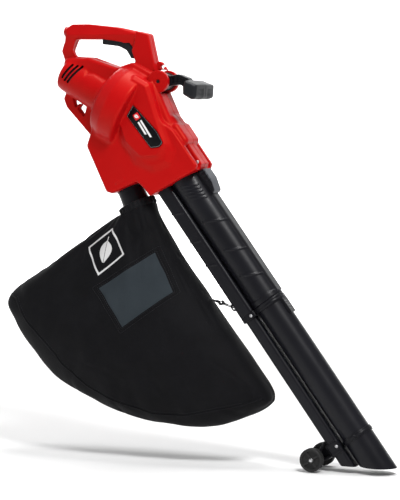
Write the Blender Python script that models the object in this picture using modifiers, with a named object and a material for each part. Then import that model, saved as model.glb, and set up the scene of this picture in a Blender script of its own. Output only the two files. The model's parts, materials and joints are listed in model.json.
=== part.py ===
"""Hand-held electric leaf blower and garden vacuum, held as in use: nozzle down, bag hanging behind it.

The origin is the middle of the main handle's grip bar. +Z is up, +X is the way the nozzle points, and the
machine is much the same on both sides of the plane y = 0. Sizes are in millimetres; MM turns them to metres.
"""

from math import cos, pi, radians, sin

import bmesh
import bpy
from mathutils import Matrix, Vector

MM = 0.001
GAP = 0.3

# Main handle and spine
GRIP_HALF = 17.0
SPINE_HALF = 27.0
EDGE_ROUND = 5.0

# Motor and fan, on one axis that dips towards the nozzle
MOTOR_DIP = 28.0
FAN_CENTRE = (72.0, 0.0, -170.0)
VOLUTE_R = 95.0
VOLUTE_REAR, VOLUTE_FRONT = -33.0, 25.0
BARREL_REAR = -172.0
BARREL_REAR_R, BARREL_FRONT_R = 38.5, 48.0
WALL = 3.0
DRUM_SIDES, BARREL_SIDES, TUBE_SIDES = 40, 32, 36

# Duct block below the fan and panelled body in front of it
BLOCK_HALF = 52.0
BODY_HALF = 62.0

# Tubes, on one slope. s runs down the tubes from the origin, n runs out of their upper side
TUBE_SLOPE = 54.0
SUCTION_N = -16.5
UPPER_R, LOWER_R = 36.5, 34.0
TUBE_WALL = 2.2
BLOW_LOW_N, BLOW_TOP_N = -85.0, -49.0
BLOW_HALF = 31.0
WEB_HALF = 16.0
WEDGE_HALF = 22.0
LOWER_BLOW_LOW_N, LOWER_BLOW_TOP_N = -81.5, -53.0
LOWER_BLOW_HALF = 26.0
SOCKET_S, SOCKET_END_S = 346.0, 388.0
ELBOW_S, ELBOW_R = 312.0, 34.5
JOINT_S, TONGUE_S = 728.0, 779.0
GROOVE_IN, GROOVE_OUT = 23.0, 38.0
GROOVE_S, GROOVE_N = 340.0, 29.0
GROUND_Z = -953.0

# Wheels
WHEEL_CENTRE = (532.0, -940.5)
WHEEL_R, WHEEL_WIDTH = 26.0, 19.0
WHEEL_Y = 41.0
AXLE_R = 3.0
SADDLE_S = (1066.0, 1096.0)
CLAMP_S = (1078.0, 1090.0)
TUBE_END_S = 1215.0

# Mains inlet at the rear end of the main handle
SHROUD_R, SHROUD_END = 11.5, 9.0
INLET_R, PIN_R, PIN_Y = 9.2, 1.5, 4.2

# Front handle
PIVOT = (162.0, 0.0, -111.7)
LUG_R = 25.0
LUG_INNER, LUG_OUTER = 23.0, 35.0
BOLT_R, BOLT_HOLE_R = 3.0, 3.6
ARM_HALF = 14.0
ROOT_R, ROOT_HALF = 19.0, 18.5
DETENT_R, DETENT_THICKNESS = 20.0, 3.4
T_GRIP_HALF = 58.0

# Motor's pieces, along its axis
SHAFT_R, BORE_R = 4.0, 4.3
CORE_R, CORE_REAR, CORE_FRONT = 33.0, -118.0, -78.0
CORE_FLAT = 28.5
ROTOR_R = 20.8
BRUSH_REAR = -147.0
BLADES, VANES = 8, 9

# Bag duct and bag
DUCT_TOP = (70.0, 0.0, -333.0)
DUCT_END = (99.0, 0.0, -395.5)
DUCT_R = 30.0
DUCT_FLARE = 1.5
BAG_HALF = 104.0
BAG_WALL = 1.6

MATERIALS = {
    "red_plastic": ((0.62, 0.012, 0.01, 1.0), 0.42, 0.0),
    "black_plastic": ((0.018, 0.018, 0.021, 1.0), 0.45, 0.0),
    "grey_plastic": ((0.06, 0.063, 0.07, 1.0), 0.5, 0.0),
    "label": ((0.008, 0.008, 0.01, 1.0), 0.3, 0.0),
    "steel": ((0.62, 0.62, 0.63, 1.0), 0.3, 1.0),
    "copper": ((0.72, 0.32, 0.14, 1.0), 0.35, 1.0),
    "brass": ((0.78, 0.6, 0.28, 1.0), 0.3, 1.0),
    "carbon": ((0.03, 0.03, 0.03, 1.0), 0.7, 0.0),
    "rubber": ((0.02, 0.02, 0.02, 1.0), 0.75, 0.0),
    "white_plastic": ((0.75, 0.75, 0.72, 1.0), 0.5, 0.0),
    "bag_fabric": ((0.01, 0.01, 0.012, 1.0), 0.85, 0.0),
    "webbing": ((0.012, 0.012, 0.012, 1.0), 0.8, 0.0),
}


# ---------------------------------------------------------------- scene and frames


def clear_scene():
    for obj in list(bpy.data.objects):
        bpy.data.objects.remove(obj, do_unlink=True)


def home():
    """The collection that holds the machine's parts."""
    found = bpy.data.collections.get("leaf_blower")
    if found is None:
        found = bpy.data.collections.new("leaf_blower")
        bpy.context.scene.collection.children.link(found)
    return found


def tilted(angle, centre=(0.0, 0.0, 0.0)):
    """A frame in millimetres whose Z runs along +X, dipping by this angle. Its -X side faces up."""
    return Matrix.Translation(Vector(centre)) @ Matrix.Rotation(radians(90.0 + angle), 4, "Y")


WORLD = Matrix.Identity(4)
MOTOR = tilted(MOTOR_DIP, FAN_CENTRE)
TUBES = tilted(TUBE_SLOPE)
SUCTION = TUBES @ Matrix.Translation((-SUCTION_N, 0.0, 0.0))


def at_tubes(s, n, y=0.0):
    """The point this far down the tubes and this far out of their upper side."""
    return TUBES @ Vector((-n, y, s))


def facing(normal, centre):
    """A frame whose Z runs along the normal."""
    turn = Vector((0.0, 0.0, 1.0)).rotation_difference(Vector(normal).normalized())
    return Matrix.Translation(Vector(centre)) @ turn.to_matrix().to_4x4()


INLET = facing((-1.0, 0.0, 0.12), (-73.0, 0.0, 2.0))
DUCT_AXIS = Vector(DUCT_END) - Vector(DUCT_TOP)
DUCT = facing(DUCT_AXIS, DUCT_TOP)


# ---------------------------------------------------------------- shapes


def keep(name, mesh, frame=WORLD):
    """A linked object whose mesh, made in a frame, is placed in the machine. Both are in millimetres."""
    mesh.transform(frame)
    if frame.determinant() < 0:
        mesh.flip_normals()
    obj = bpy.data.objects.new(name, mesh)
    home().objects.link(obj)
    return obj


def evaluated_mesh(obj):
    """The object's mesh with its modifiers, in triangles, which a Boolean can't bend."""
    graph = bpy.context.evaluated_depsgraph_get()
    mesh = bpy.data.meshes.new_from_object(obj.evaluated_get(graph))
    form = bmesh.new()
    form.from_mesh(mesh)
    bmesh.ops.triangulate(form, faces=form.faces)
    form.to_mesh(mesh)
    form.free()
    return mesh


def apply(obj):
    """Turn the object's modifiers into mesh."""
    mesh = evaluated_mesh(obj)
    obj.modifiers.clear()
    obj.data = mesh
    return obj


def weld(mesh):
    form = bmesh.new()
    form.from_mesh(mesh)
    bmesh.ops.remove_doubles(form, verts=form.verts, dist=0.002)
    bmesh.ops.recalc_face_normals(form, faces=form.faces)
    form.to_mesh(mesh)
    form.free()


def arc_corner(before, corner, after, radius, steps):
    """The points of a rounded corner between two straight sides."""
    if radius <= 0:
        return [corner]
    back = (before - corner).normalized()
    onward = (after - corner).normalized()
    half = back.angle(onward) / 2
    reach = min(radius / max(sin(half) / cos(half), 1e-6), 0.49 * (before - corner).length,
                0.49 * (after - corner).length)
    start, end = corner + back * reach, corner + onward * reach
    found = []
    for step in range(steps + 1):
        t = step / steps
        found.append(start.lerp(corner, t).lerp(corner.lerp(end, t), t))
    return found


def rounded(corners, steps=2):
    """An outline from (x, z, corner radius) points."""
    points = [Vector((x, z)) for x, z, _ in corners]
    found = []
    for index, (_, _, radius) in enumerate(corners):
        before, after = points[index - 1], points[(index + 1) % len(points)]
        found += arc_corner(before, points[index], after, radius, steps)
    return found


def plate(name, outlines, half, y=0.0, edge=0.0, frame=WORLD, edge_steps=0):
    """Flat outlines in X and Z (a later one inside the first is a hole), extruded along Y to y +- half."""
    curve = bpy.data.curves.new(name, "CURVE")
    curve.dimensions = "2D"
    curve.fill_mode = "BOTH"
    curve.extrude = half - edge
    curve.bevel_depth = edge
    curve.bevel_resolution = edge_steps
    curve.offset = -edge
    for outline in outlines:
        spline = curve.splines.new("POLY")
        spline.points.add(len(outline) - 1)
        for point, (x, z) in zip(spline.points, outline):
            point.co = (x, z, 0.0, 1.0)
        spline.use_cyclic_u = True
    guide = bpy.data.objects.new(name + "_curve", curve)
    home().objects.link(guide)
    mesh = evaluated_mesh(guide)
    bpy.data.objects.remove(guide, do_unlink=True)
    mesh.transform(Matrix.Translation((0.0, y, 0.0)) @ Matrix.Rotation(radians(90.0), 4, "X"))
    weld(mesh)
    return keep(name, mesh, frame)


def rail(name, points, radius, frame=WORLD):
    """A round bar or wire through these points."""
    curve = bpy.data.curves.new(name, "CURVE")
    curve.dimensions = "3D"
    curve.bevel_depth = radius
    curve.bevel_resolution = 2
    curve.use_fill_caps = True
    spline = curve.splines.new("POLY")
    spline.points.add(len(points) - 1)
    for place, point in zip(spline.points, points):
        place.co = (*point, 1.0)
    guide = bpy.data.objects.new(name + "_curve", curve)
    home().objects.link(guide)
    mesh = evaluated_mesh(guide)
    bpy.data.objects.remove(guide, do_unlink=True)
    weld(mesh)
    return keep(name, mesh, frame)


def turned(name, profile, frame, steps=32):
    """A turned piece from a closed (radius, height) profile that runs down its outer side."""
    closed_on_axis = profile[0][0] == 0 and profile[-1][0] == 0
    mesh = bpy.data.meshes.new(name)
    edges = [(i, i + 1) for i in range(len(profile) - 1)]
    if not closed_on_axis:
        edges.append((len(profile) - 1, 0))
    mesh.from_pydata([(r, 0.0, z) for r, z in profile], edges, [])
    obj = bpy.data.objects.new(name, mesh)
    home().objects.link(obj)
    screw = obj.modifiers.new("turn", "SCREW")
    screw.axis = "Z"
    screw.steps = steps
    screw.render_steps = steps
    screw.use_merge_vertices = True
    screw.merge_threshold = 0.0001
    screw.use_smooth_shade = False
    mesh = evaluated_mesh(obj)
    bpy.data.objects.remove(obj, do_unlink=True)
    weld(mesh)
    return keep(name, mesh, frame)


def disc(name, radius, low, high, frame, steps=32, edge=0.0):
    """A round bar on the frame's Z, its ends chamfered."""
    profile = [(0.0, high), (radius - edge, high), (radius, high - edge), (radius, low + edge),
               (radius - edge, low), (0.0, low)]
    if edge <= 0:
        profile = [(0.0, high), (radius, high), (radius, low), (0.0, low)]
    return turned(name, profile, frame, steps)


def ring(name, outer, inner, low, high, frame, steps=32):
    return turned(name, [(inner, high), (outer, high), (outer, low), (inner, low)], frame, steps)


def box(name, low, high, frame=WORLD, edge=0.0):
    """A box between two corners, its edges chamfered."""
    form = bmesh.new()
    bmesh.ops.create_cube(form, size=1.0)
    size = Vector(high) - Vector(low)
    bmesh.ops.scale(form, vec=size, verts=form.verts)
    bmesh.ops.translate(form, vec=Vector(low) + size / 2, verts=form.verts)
    if edge > 0:
        bmesh.ops.bevel(form, geom=form.edges, offset=edge, segments=1, affect="EDGES", profile=0.5)
    bmesh.ops.triangulate(form, faces=form.faces)
    mesh = bpy.data.meshes.new(name)
    form.to_mesh(mesh)
    form.free()
    return keep(name, mesh, frame)


def combine(target, others, operation):
    """Join solids to the first one, or cut them from it."""
    for other in others:
        modifier = target.modifiers.new(other.name, "BOOLEAN")
        modifier.operation = operation
        modifier.solver = "MANIFOLD"
        modifier.object = other
        apply(target)
        bpy.data.objects.remove(other, do_unlink=True)
    return target


def joined(name, pieces):
    """One solid from overlapping pieces."""
    whole = combine(pieces[0], pieces[1:], "UNION")
    whole.name = name
    return whole


def cut(target, cutters):
    return combine(target, cutters, "DIFFERENCE")


def copy_of(obj, name):
    twin = bpy.data.objects.new(name, obj.data.copy())
    home().objects.link(twin)
    return twin


def mirrored(obj, name):
    """The same piece on the other side of the plane y = 0."""
    twin = copy_of(obj, name)
    twin.data.transform(Matrix.Scale(-1.0, 4, (0.0, 1.0, 0.0)))
    twin.data.flip_normals()
    return twin


def finish(obj, name, material, axis_point=None):
    """Name, colour and shade a part, turn it to metres, and put its origin on its joint's axis."""
    obj.data.transform(Matrix.Scale(MM, 4))
    obj.name = name
    obj.data.name = name
    colour, roughness, metallic = MATERIALS[material]
    found = bpy.data.materials.get(material)
    if found is None:
        found = bpy.data.materials.new(material)
        found.use_nodes = True
        shader = found.node_tree.nodes["Principled BSDF"]
        shader.inputs["Base Color"].default_value = colour
        shader.inputs["Roughness"].default_value = roughness
        shader.inputs["Metallic"].default_value = metallic
    obj.data.materials.clear()
    obj.data.materials.append(found)
    obj.data.shade_smooth()
    obj.data.set_sharp_from_angle(angle=radians(35.0))
    if axis_point is not None:
        centre = Vector(axis_point) * MM
        obj.data.transform(Matrix.Translation(-centre))
        obj.location = centre
    return obj


# ---------------------------------------------------------------- outlines of the housing

HANDLE = [(-80, -75, 0), (-88, -42, 8), (-79, -20, 8), (-76, 10, 14), (-60, 19, 10), (-20, 19, 30),
          (55, 11, 30), (131, -5, 12), (150, -88, 0), (100, -110, 0), (0, -110, 0)]
OPENING = [(-51, -15.5, 9), (14, -16.5, 10), (66, -24, 22), (84, -40, 14), (98, -66, 6), (85, -70, 14),
           (57, -80.5, 6), (-2, -58, 22), (-53, -54, 7), (-61, -41, 10)]
SPINE = [(-74, -58, 12), (-12, -57, 30), (57, -80, 20), (96, -68, 18), (128, -84, 16), (150, -95, 0),
         (90, -160, 0), (-40, -120, 0), (-78, -90, 8)]
BLOCK = [(8, -214, 8), (-7, -257, 14), (42, -360, 8), (56, -364, 3), (117, -336, 4), (133, -349, 3),
         (149, -368, 4), (259, -308, 4), (262, -297, 6), (207, -221, 10), (165, -190, 0), (60, -170, 0)]
BODY = [(112, -96, 14), (150, -117, 12), (197, -254, 12), (176, -284, 22), (128, -286, 26), (88, -250, 14),
        (66, -190, 0), (80, -120, 0)]
LOOP = [(-66, -112, 8), (-84, -150, 12), (-76, -170, 10), (-18, -232, 4), (10, -240, 0), (30, -200, 0),
        (-20, -130, 0)]
LOOP_HOLE = [(-55, -147, 2), (-27, -163, 3), (-30, -184, 2), (-35, -184, 2), (-43, -171, 3), (-34, -165, 3),
             (-38, -158, 3), (-47, -160, 3), (-56, -158, 3)]
EYE = [(142, -88, 0), (150, -66, 4), (160, -68, 6), (178, -94, 6), (160, -120, 0)]
HOOD = [(148, -104, 0), (160, -122, 14), (199, -206, 12), (212, -240, 10), (150, -262, 0), (110, -160, 0)]
HOOD_HALF = 40.0
EYE_CENTRE = (161.5, -78.8)
EYE_HALF, EYE_HOLE_R = 6.0, 4.3
LOOP_HALF = 9.0
VENTS, VENT_PITCH, VENT_WIDTH = 4, 9.5, 4.2


def inset(corners, amount):
    """The same outline, moved in towards its middle by this much along each side."""
    points = [Vector((x, z)) for x, z, _ in corners]
    area = sum(a.cross(b) for a, b in zip(points, points[1:] + points[:1]))
    found = []
    for index, point in enumerate(points):
        onward = (points[(index + 1) % len(points)] - point).normalized()
        arriving = (point - points[index - 1]).normalized()
        side = 1.0 if area > 0 else -1.0
        normals = [Vector((-edge.y, edge.x)) * side for edge in (arriving, onward)]
        middle = (normals[0] + normals[1]).normalized()
        move = amount / max(middle.dot(normals[0]), 0.35)
        found.append((*(point + middle * move), max(corners[index][2] - amount, 0.0)))
    return found


# ---------------------------------------------------------------- housing


def motor_barrel(name, radius_cut, rear, front):
    """The tapered motor casing. A positive cut gives the space inside it."""
    low = BARREL_REAR_R - radius_cut
    high = BARREL_FRONT_R - radius_cut
    profile = [(0.0, front), (high, front), (high, VOLUTE_REAR), (low + 1.5, rear + 12), (low - 1, rear + 5),
               (low - 7, rear), (0.0, rear)]
    return turned(name, profile, MOTOR, BARREL_SIDES)


def fan_drum(name, radius, rear, front, edge):
    """The fan's round casing: crisp at the front, and domed back to the motor casing at the rear."""
    dome = [(radius * cos(a), rear + 14 - 30 * sin(a)) for a in [radians(15 * k) for k in range(5)]]
    return turned(name, [(0.0, front), (radius - edge, front), (radius, front - edge)] + dome
                  + [(0.0, dome[-1][1])], MOTOR, DRUM_SIDES)


def groove_boxes(wall):
    """The grooves beside the strip on the casing's front, made larger all round by this wall."""
    low, high = GROOVE_IN - wall, GROOVE_OUT + wall
    return [box("groove", (-80, min(side * low, side * high), GROOVE_S - wall),
                (wall - GROOVE_N, max(side * low, side * high), 460), TUBES) for side in (-1, 1)]


def housing_outside():
    """The whole red casing as one solid, before it is hollowed and split."""
    block = plate("block", [rounded(BLOCK)], BLOCK_HALF, edge=7)
    cut(block, groove_boxes(0.0))
    latch = box("latch", (-48, -33, 294), (-20, 33, 338), TUBES, edge=7)
    strip_end = SOCKET_END_S + 6
    front_strip = box("front_strip", (-40, -GROOVE_IN, 320), (-20, GROOVE_IN, strip_end), TUBES, edge=2)
    pieces = [
        plate("body", [rounded(BODY)], BODY_HALF, edge=8, edge_steps=1),
        fan_drum("drum", VOLUTE_R, VOLUTE_REAR, VOLUTE_FRONT, 9),
        motor_barrel("barrel", 0.0, BARREL_REAR, VOLUTE_REAR + 6),
        plate("spine", [rounded(SPINE)], SPINE_HALF, edge=9),
        block,
        plate("handle", [rounded(HANDLE), rounded(OPENING)], GRIP_HALF, edge=EDGE_ROUND, edge_steps=1),
        plate("hood", [rounded(HOOD)], HOOD_HALF, edge=12),
        latch,
        front_strip,
        plate("loop", [rounded(LOOP, 1), rounded(LOOP_HOLE, 1)], LOOP_HALF, edge=2),
        plate("eye", [rounded(EYE)], EYE_HALF, edge=1.5),
        disc("shroud", SHROUD_R, -22.0, SHROUD_END, INLET, 24, edge=2),
    ]
    return joined("housing", pieces)


def lugs():
    """The two round lugs that hold the front handle."""
    across = facing((0, 1, 0), PIVOT)
    return [disc("lug", LUG_R, low, low + LUG_OUTER - LUG_INNER, across, 32, edge=1)
            for low in (-LUG_OUTER, LUG_INNER)]


def pivot_cutters():
    """The slot that the front handle's root turns in, and the hole of its bolt."""
    across = facing((0, 1, 0), PIVOT)
    slot = disc("slot", LUG_R + 1.5, -LUG_INNER, LUG_INNER, across, 32)
    bolt_hole = disc("bolt_hole", BOLT_HOLE_R, -90, 90, across, 16)
    return [slot], [bolt_hole]


def fan_mouth_frame():
    """A frame at the fan's intake, pointing to the top of the suction tube, and the distance between them."""
    bend = Vector(at_tubes(ELBOW_S, SUCTION_N))
    mouth = MOTOR @ Vector((0, 0, VOLUTE_FRONT + 9))
    return facing(bend - mouth, mouth), (bend - mouth).length


def elbow_form(name, radius, reach):
    """The bend from the fan's intake to the suction tube, as a solid of this radius."""
    frame, length = fan_mouth_frame()
    upper = disc(name, radius, -reach, length, frame, 24)
    knee = turned(name + "_knee", [(radius * sin(a), radius * cos(a)) for a in [pi * k / 8 for k in range(9)]],
                  Matrix.Translation(at_tubes(ELBOW_S, SUCTION_N)), 24)
    lower = disc(name + "_lower", radius, ELBOW_S, SOCKET_S - 1 + min(reach, 3), SUCTION, 24)
    return joined(name, [upper, knee, lower])


def body_spaces():
    """The hollows that leave a wall of even thickness under the casing's skin."""
    found = [motor_barrel("motor_bay", WALL, BARREL_REAR + WALL, VOLUTE_REAR - 2)]
    for index, (outline, half) in enumerate(((BLOCK, BLOCK_HALF), (BODY, BODY_HALF), (HOOD, HOOD_HALF))):
        space = plate("space", [rounded(inset(outline, WALL), 1)], half - WALL, edge=4)
        # The fan's own wall stays whole where these spaces pass it.
        radius = VOLUTE_R + 0.5 + 0.3 * index
        drum = disc("drum_wall", radius, VOLUTE_REAR - 60, VOLUTE_FRONT, MOTOR, DRUM_SIDES)
        found.append(cut(space, [drum] + groove_boxes(WALL)))
    bar = HANDLE[3:9] + [(118, -60, 0), (104, -26, 0), (60, -19, 0), (20, -15.5, 0), (-70, -15, 0)]
    found.append(plate("handle_space", [rounded(inset(bar, 3.5))], 12.5))
    return found


def sleeves():
    """The walls that hold the top of the upper tube, inside the block."""
    low, high = SOCKET_S - 25, SOCKET_END_S + 14
    wall = GAP + WALL
    walls = [disc("sleeve", UPPER_R + wall, low + 16, high, SUCTION, TUBE_SIDES),
             blow_duct("flat_sleeve", BLOW_HALF + wall, BLOW_LOW_N - wall, BLOW_TOP_N, low, high, 9)]
    near, far = Vector(BLOCK[6][:2]), Vector(BLOCK[7][:2])
    rim = (far - near).normalized()
    below = facing((rim.y, 0, -rim.x), (near.x, 0, near.y))
    return [cut(wall, [box("below_rim", (-300, -100, -1), (300, 100, 90), below)]) for wall in walls]


def bores():
    """The clear passages and seats."""
    beyond = SOCKET_END_S + 30
    return [
        disc("shaft_hole", 9.0, VOLUTE_REAR - 8, VOLUTE_REAR + 8, MOTOR, 20),
        disc("fan_space", VOLUTE_R - WALL, VOLUTE_REAR + WALL, VOLUTE_FRONT - WALL, MOTOR, DRUM_SIDES, edge=9),
        elbow_form("elbow_seat", ELBOW_R + GAP, 14),
        disc("suction_socket", UPPER_R + GAP, SOCKET_S, beyond, SUCTION, TUBE_SIDES),
        blow_duct("blow_socket", BLOW_HALF + GAP, BLOW_LOW_N - GAP, BLOW_TOP_N + GAP, SOCKET_S - 40, beyond, 9),
        blow_duct("web_socket", WEB_HALF + 0.5, BLOW_TOP_N - 4, BLOW_TOP_N + 10, SOCKET_S, beyond, 2),
        box("fan_outlet", (20, -30, -20), (VOLUTE_R + 12, 30, 16), MOTOR),
        disc("duct_mouth", DUCT_R + GAP, -14.0, 60.0, DUCT, 32),
        disc("inlet_hole", 9.5, -10.0, 30.0, INLET, 24),
        disc("eye_hole", EYE_HOLE_R, -20.0, 20.0, facing((0, 1, 0), (EYE_CENTRE[0], 0, EYE_CENTRE[1])), 20),
        disc("spindle_hole", SPINDLE_R + GAP, 1.5 - BLOCK_HALF, 80.0, facing((0, 1, 0), FLAP_AXIS), 16),
    ]


def vent_cutters():
    """Slanted cooling slots near the rear of the motor casing, on both sides."""
    found = []
    for side in (-1, 1):
        for index in range(VENTS):
            along = BARREL_REAR + 14 + VENT_PITCH * index
            low = (-26.0, 18.0, along)
            high = (12.0, 60.0, along + VENT_WIDTH)
            turn = Matrix.Rotation(radians(14.0 * side), 4, "Z")
            flip = Matrix.Scale(side, 4, (0.0, 1.0, 0.0))
            found.append(box("vent", low, high, MOTOR @ turn @ flip))
    return found


def housing_halves():
    slot, bolt_hole = pivot_cutters()
    whole = cut(housing_outside(), body_spaces() + slot)
    combine(whole, lugs() + sleeves(), "UNION")
    cut(whole, bolt_hole + bores() + vent_cutters() + trigger_space())
    left = copy_of(whole, "housing_left")
    near, far = GAP / 2, 400.0
    cut(whole, [box("left_side", (-400, -near, -600), (600, far, 200))])
    cut(left, [box("right_side", (-400, -far, -600), (600, near, 200))])
    return [finish(whole, "housing_right", "red_plastic"), finish(left, "housing_left", "red_plastic")]


def inlet_elbow():
    """The bent pipe between the suction tube and the fan, inside the casing."""
    elbow = cut(elbow_form("elbow", ELBOW_R, 0), [elbow_form("elbow_bore", ELBOW_R - TUBE_WALL, 3)])
    return finish(elbow, "inlet_elbow", "black_plastic")


# ---------------------------------------------------------------- controls in the handle

TRIGGER_PIVOT = (95.0, 0.0, -50.0)
TRIGGER_TRAVEL = 4.0
TRIGGER = [(14, -17, 1), (14, -27, 2), (55, -32, 20), (74, -41, 12), (85, -59, 2), (91, -60, 2), (99, -54, 3),
           (99, -44, 3), (91, -38, 8), (80, -22, 10), (60, -16, 8), (20, -13, 3)]
TRIGGER_HALF = 8.0


def trigger_space():
    """The slot that the trigger moves up into: its shape at rest and pressed, with room round both."""
    pivot = Matrix.Translation(TRIGGER_PIVOT)
    pressed = pivot @ Matrix.Rotation(radians(TRIGGER_TRAVEL), 4, "Y") @ pivot.inverted()
    shape = rounded(inset(TRIGGER, -1.5), 1)
    return [plate("trigger_slot", [shape], TRIGGER_HALF + 1, frame=frame) for frame in (WORLD, pressed)]


def controls():
    trigger = plate("trigger", [rounded(TRIGGER)], TRIGGER_HALF, edge=1.5)
    switch = box("switch_body", (26, -9, -7), (54, 9, 6), edge=1)
    capacitor = box("capacitor", (-40, -8, -9), (-14, 8, 6), edge=1)
    return [
        finish(trigger, "trigger", "grey_plastic", TRIGGER_PIVOT),
        finish(switch, "switch_body", "black_plastic"),
        finish(capacitor, "suppression_capacitor", "white_plastic"),
    ]


def mains_inlet():
    """The recessed two-pin inlet at the rear end of the main handle."""
    socket = disc("mains_inlet", INLET_R, -8.0, SHROUD_END - 8, INLET, 20)
    found = []
    for index, side in enumerate((-1, 1)):
        pin_frame = INLET @ Matrix.Translation((0, side * PIN_Y, 0))
        cut(socket, [disc("pin_hole", PIN_R + GAP, -6.0, 20.0, pin_frame, 12)])
        pin = disc("pin", PIN_R, -5.7, SHROUD_END - 1.5, pin_frame, 12)
        found.append(finish(pin, f"inlet_pin_{index + 1}", "brass"))
    return [finish(socket, "mains_inlet", "black_plastic")] + found


# ---------------------------------------------------------------- motor and fan


def motor_core():
    """The laminated core round the rotor, flattened on two sides."""
    core = ring("core", CORE_R, ROTOR_R + 0.7, CORE_REAR, CORE_FRONT, MOTOR, 40)
    upper = box("flat", (-60, -60, CORE_REAR - 12), (-CORE_FLAT, 60, CORE_FRONT + 18), MOTOR)
    lower = box("flat", (CORE_FLAT, -60, CORE_REAR - 12), (60, 60, CORE_FRONT + 18), MOTOR)
    return finish(cut(core, [upper, lower]), "motor_core", "steel")


def windings():
    found = []
    for name, low in (("field_winding_rear", CORE_REAR - 9.8), ("field_winding_front", CORE_FRONT + 0.3)):
        profile = [(24, low + 9.4), (30, low + 7), (31, low + 3), (30, low), (24, low)]
        found.append(finish(turned(name, profile, MOTOR, 32), name, "copper"))
    return found


def brush_gear():
    """A carbon brush in a brass holder on each side of the commutator."""
    found = []
    for index, side in enumerate((-1, 1)):
        frame = MOTOR @ Matrix.Scale(side, 4, (0, 1, 0))
        holder = box("holder", (-7, 14.5, BRUSH_REAR + 2), (7, 29, BRUSH_REAR + 14), frame)
        cut(holder, [box("bore", (-3.3, 10, BRUSH_REAR + 4.7), (3.3, 27, BRUSH_REAR + 11.3), frame)])
        brush = box("brush", (-3, 12.6, BRUSH_REAR + 5), (3, 24, BRUSH_REAR + 11), frame)
        found.append(finish(holder, f"brush_holder_{index + 1}", "brass"))
        found.append(finish(brush, f"carbon_brush_{index + 1}", "carbon"))
    return found


def bearings():
    rear = ring("rear_bearing", 11.0, SHAFT_R + 0.4, -164, -157, MOTOR, 28)
    front = ring("front_bearing", 8.7, SHAFT_R + 0.4, VOLUTE_REAR - 6, VOLUTE_REAR + 1, MOTOR, 28)
    return [finish(rear, "rear_bearing", "steel"), finish(front, "front_bearing", "steel")]


def impeller():
    """Backplate, hub and swept blades."""
    low, high = VOLUTE_REAR + 7, VOLUTE_FRONT - 9
    profile = [(6.0, high), (13, high), (15, low + 12), (22, low + 4), (76, low + 3), (76, low), (6.0, low)]
    wheel = turned("wheel", profile, MOTOR, DRUM_SIDES)
    blades = []
    for index in range(BLADES):
        turn = Matrix.Rotation(2 * pi * index / BLADES, 4, "Z")
        lean = Matrix.Rotation(radians(-24.0), 4, "Z")
        frame = MOTOR @ turn @ Matrix.Translation((12, 0, 0)) @ lean
        blades.append(box("blade", (0, -1.3, low + 1), (60, 1.3, high - 3), frame))
    return joined("impeller", [wheel] + blades)


def armature():
    """The shaft with the wound rotor on it."""
    shaft_end = VOLUTE_FRONT + 2
    profile = [(0, shaft_end), (SHAFT_R, shaft_end), (SHAFT_R, -62), (13, -64), (17, -74), (17, -80),
               (ROTOR_R, -81), (ROTOR_R, -115), (17, -116), (17, -122), (10, -130), (SHAFT_R, -131),
               (SHAFT_R, -165), (0, -165)]
    return turned("armature", profile, MOTOR, 24)


def cooling_fan():
    pieces = [ring("hub", 12, BORE_R, -60, -48, MOTOR, 24)]
    for index in range(VANES):
        frame = MOTOR @ Matrix.Rotation(2 * pi * index / VANES, 4, "Z")
        pieces.append(box("vane", (9, -1, -57), (33, 1, -49), frame))
    pieces.append(ring("back", 33.5, 11, -60, -57.5, MOTOR, 36))
    return joined("cooling_fan", pieces)


def shredder_and_nut():
    eye = (BORE_R, 0, 60, MOTOR, 20)
    shredder = box("shredder", (-34, -7, VOLUTE_FRONT - 8.6), (34, 7, VOLUTE_FRONT - 5.6), MOTOR, edge=0.8)
    nut = disc("nut", 7.5, VOLUTE_FRONT - 5.2, VOLUTE_FRONT + 0.8, MOTOR, 6)
    return [cut(shredder, [disc("eye", *eye)]), cut(nut, [disc("eye", *eye)])]


def rotor_parts():
    commutator = ring("commutator", 12.2, BORE_R, -148, -131.5, MOTOR, 24)
    shredder, nut = shredder_and_nut()
    pieces = [(armature(), "armature", "steel"), (commutator, "commutator", "copper"),
              (cooling_fan(), "cooling_fan", "black_plastic"), (impeller(), "impeller", "black_plastic"),
              (shredder, "shredder_blade", "steel"), (nut, "impeller_nut", "steel")]
    return [finish(piece, name, material, FAN_CENTRE) for piece, name, material in pieces]


# ---------------------------------------------------------------- mode flap

FLAP_AXIS = (113.0, 0.0, -310.0)
FLAP_LENGTH, FLAP_HALF = 32.0, 44.0
SPINDLE_R = 4.0
LEVER = [(-8, -8, 7), (-8, 8, 7), (12, 7, 8), (37, 5, 5), (37, -5, 5), (12, -7, 8)]
LEVER_AIM = 150.0


def mode_selector():
    """The flap that sends the air to the bag or to the blowing tube, and its lever on the left side."""
    across = facing((0, 1, 0), FLAP_AXIS)
    spindle = disc("spindle", SPINDLE_R, 2.0 - BLOCK_HALF, BLOCK_HALF + 5, across, 16)
    lean = Matrix.Translation(FLAP_AXIS) @ Matrix.Rotation(radians(TUBE_SLOPE - 90.0), 4, "Y")
    blade = box("blade", (0, -FLAP_HALF, -1.5), (FLAP_LENGTH, FLAP_HALF, 1.5), lean)
    flap = joined("flap", [spindle, blade])
    aim = Matrix.Translation(FLAP_AXIS) @ Matrix.Rotation(radians(LEVER_AIM), 4, "Y")
    arm = plate("arm", [rounded(LEVER)], 3.0, y=BLOCK_HALF + 8.5, edge=1.0, frame=aim)
    return [finish(flap, "mode_flap", "black_plastic", FLAP_AXIS),
            finish(arm, "mode_lever", "grey_plastic", FLAP_AXIS)]


# ---------------------------------------------------------------- front handle

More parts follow.
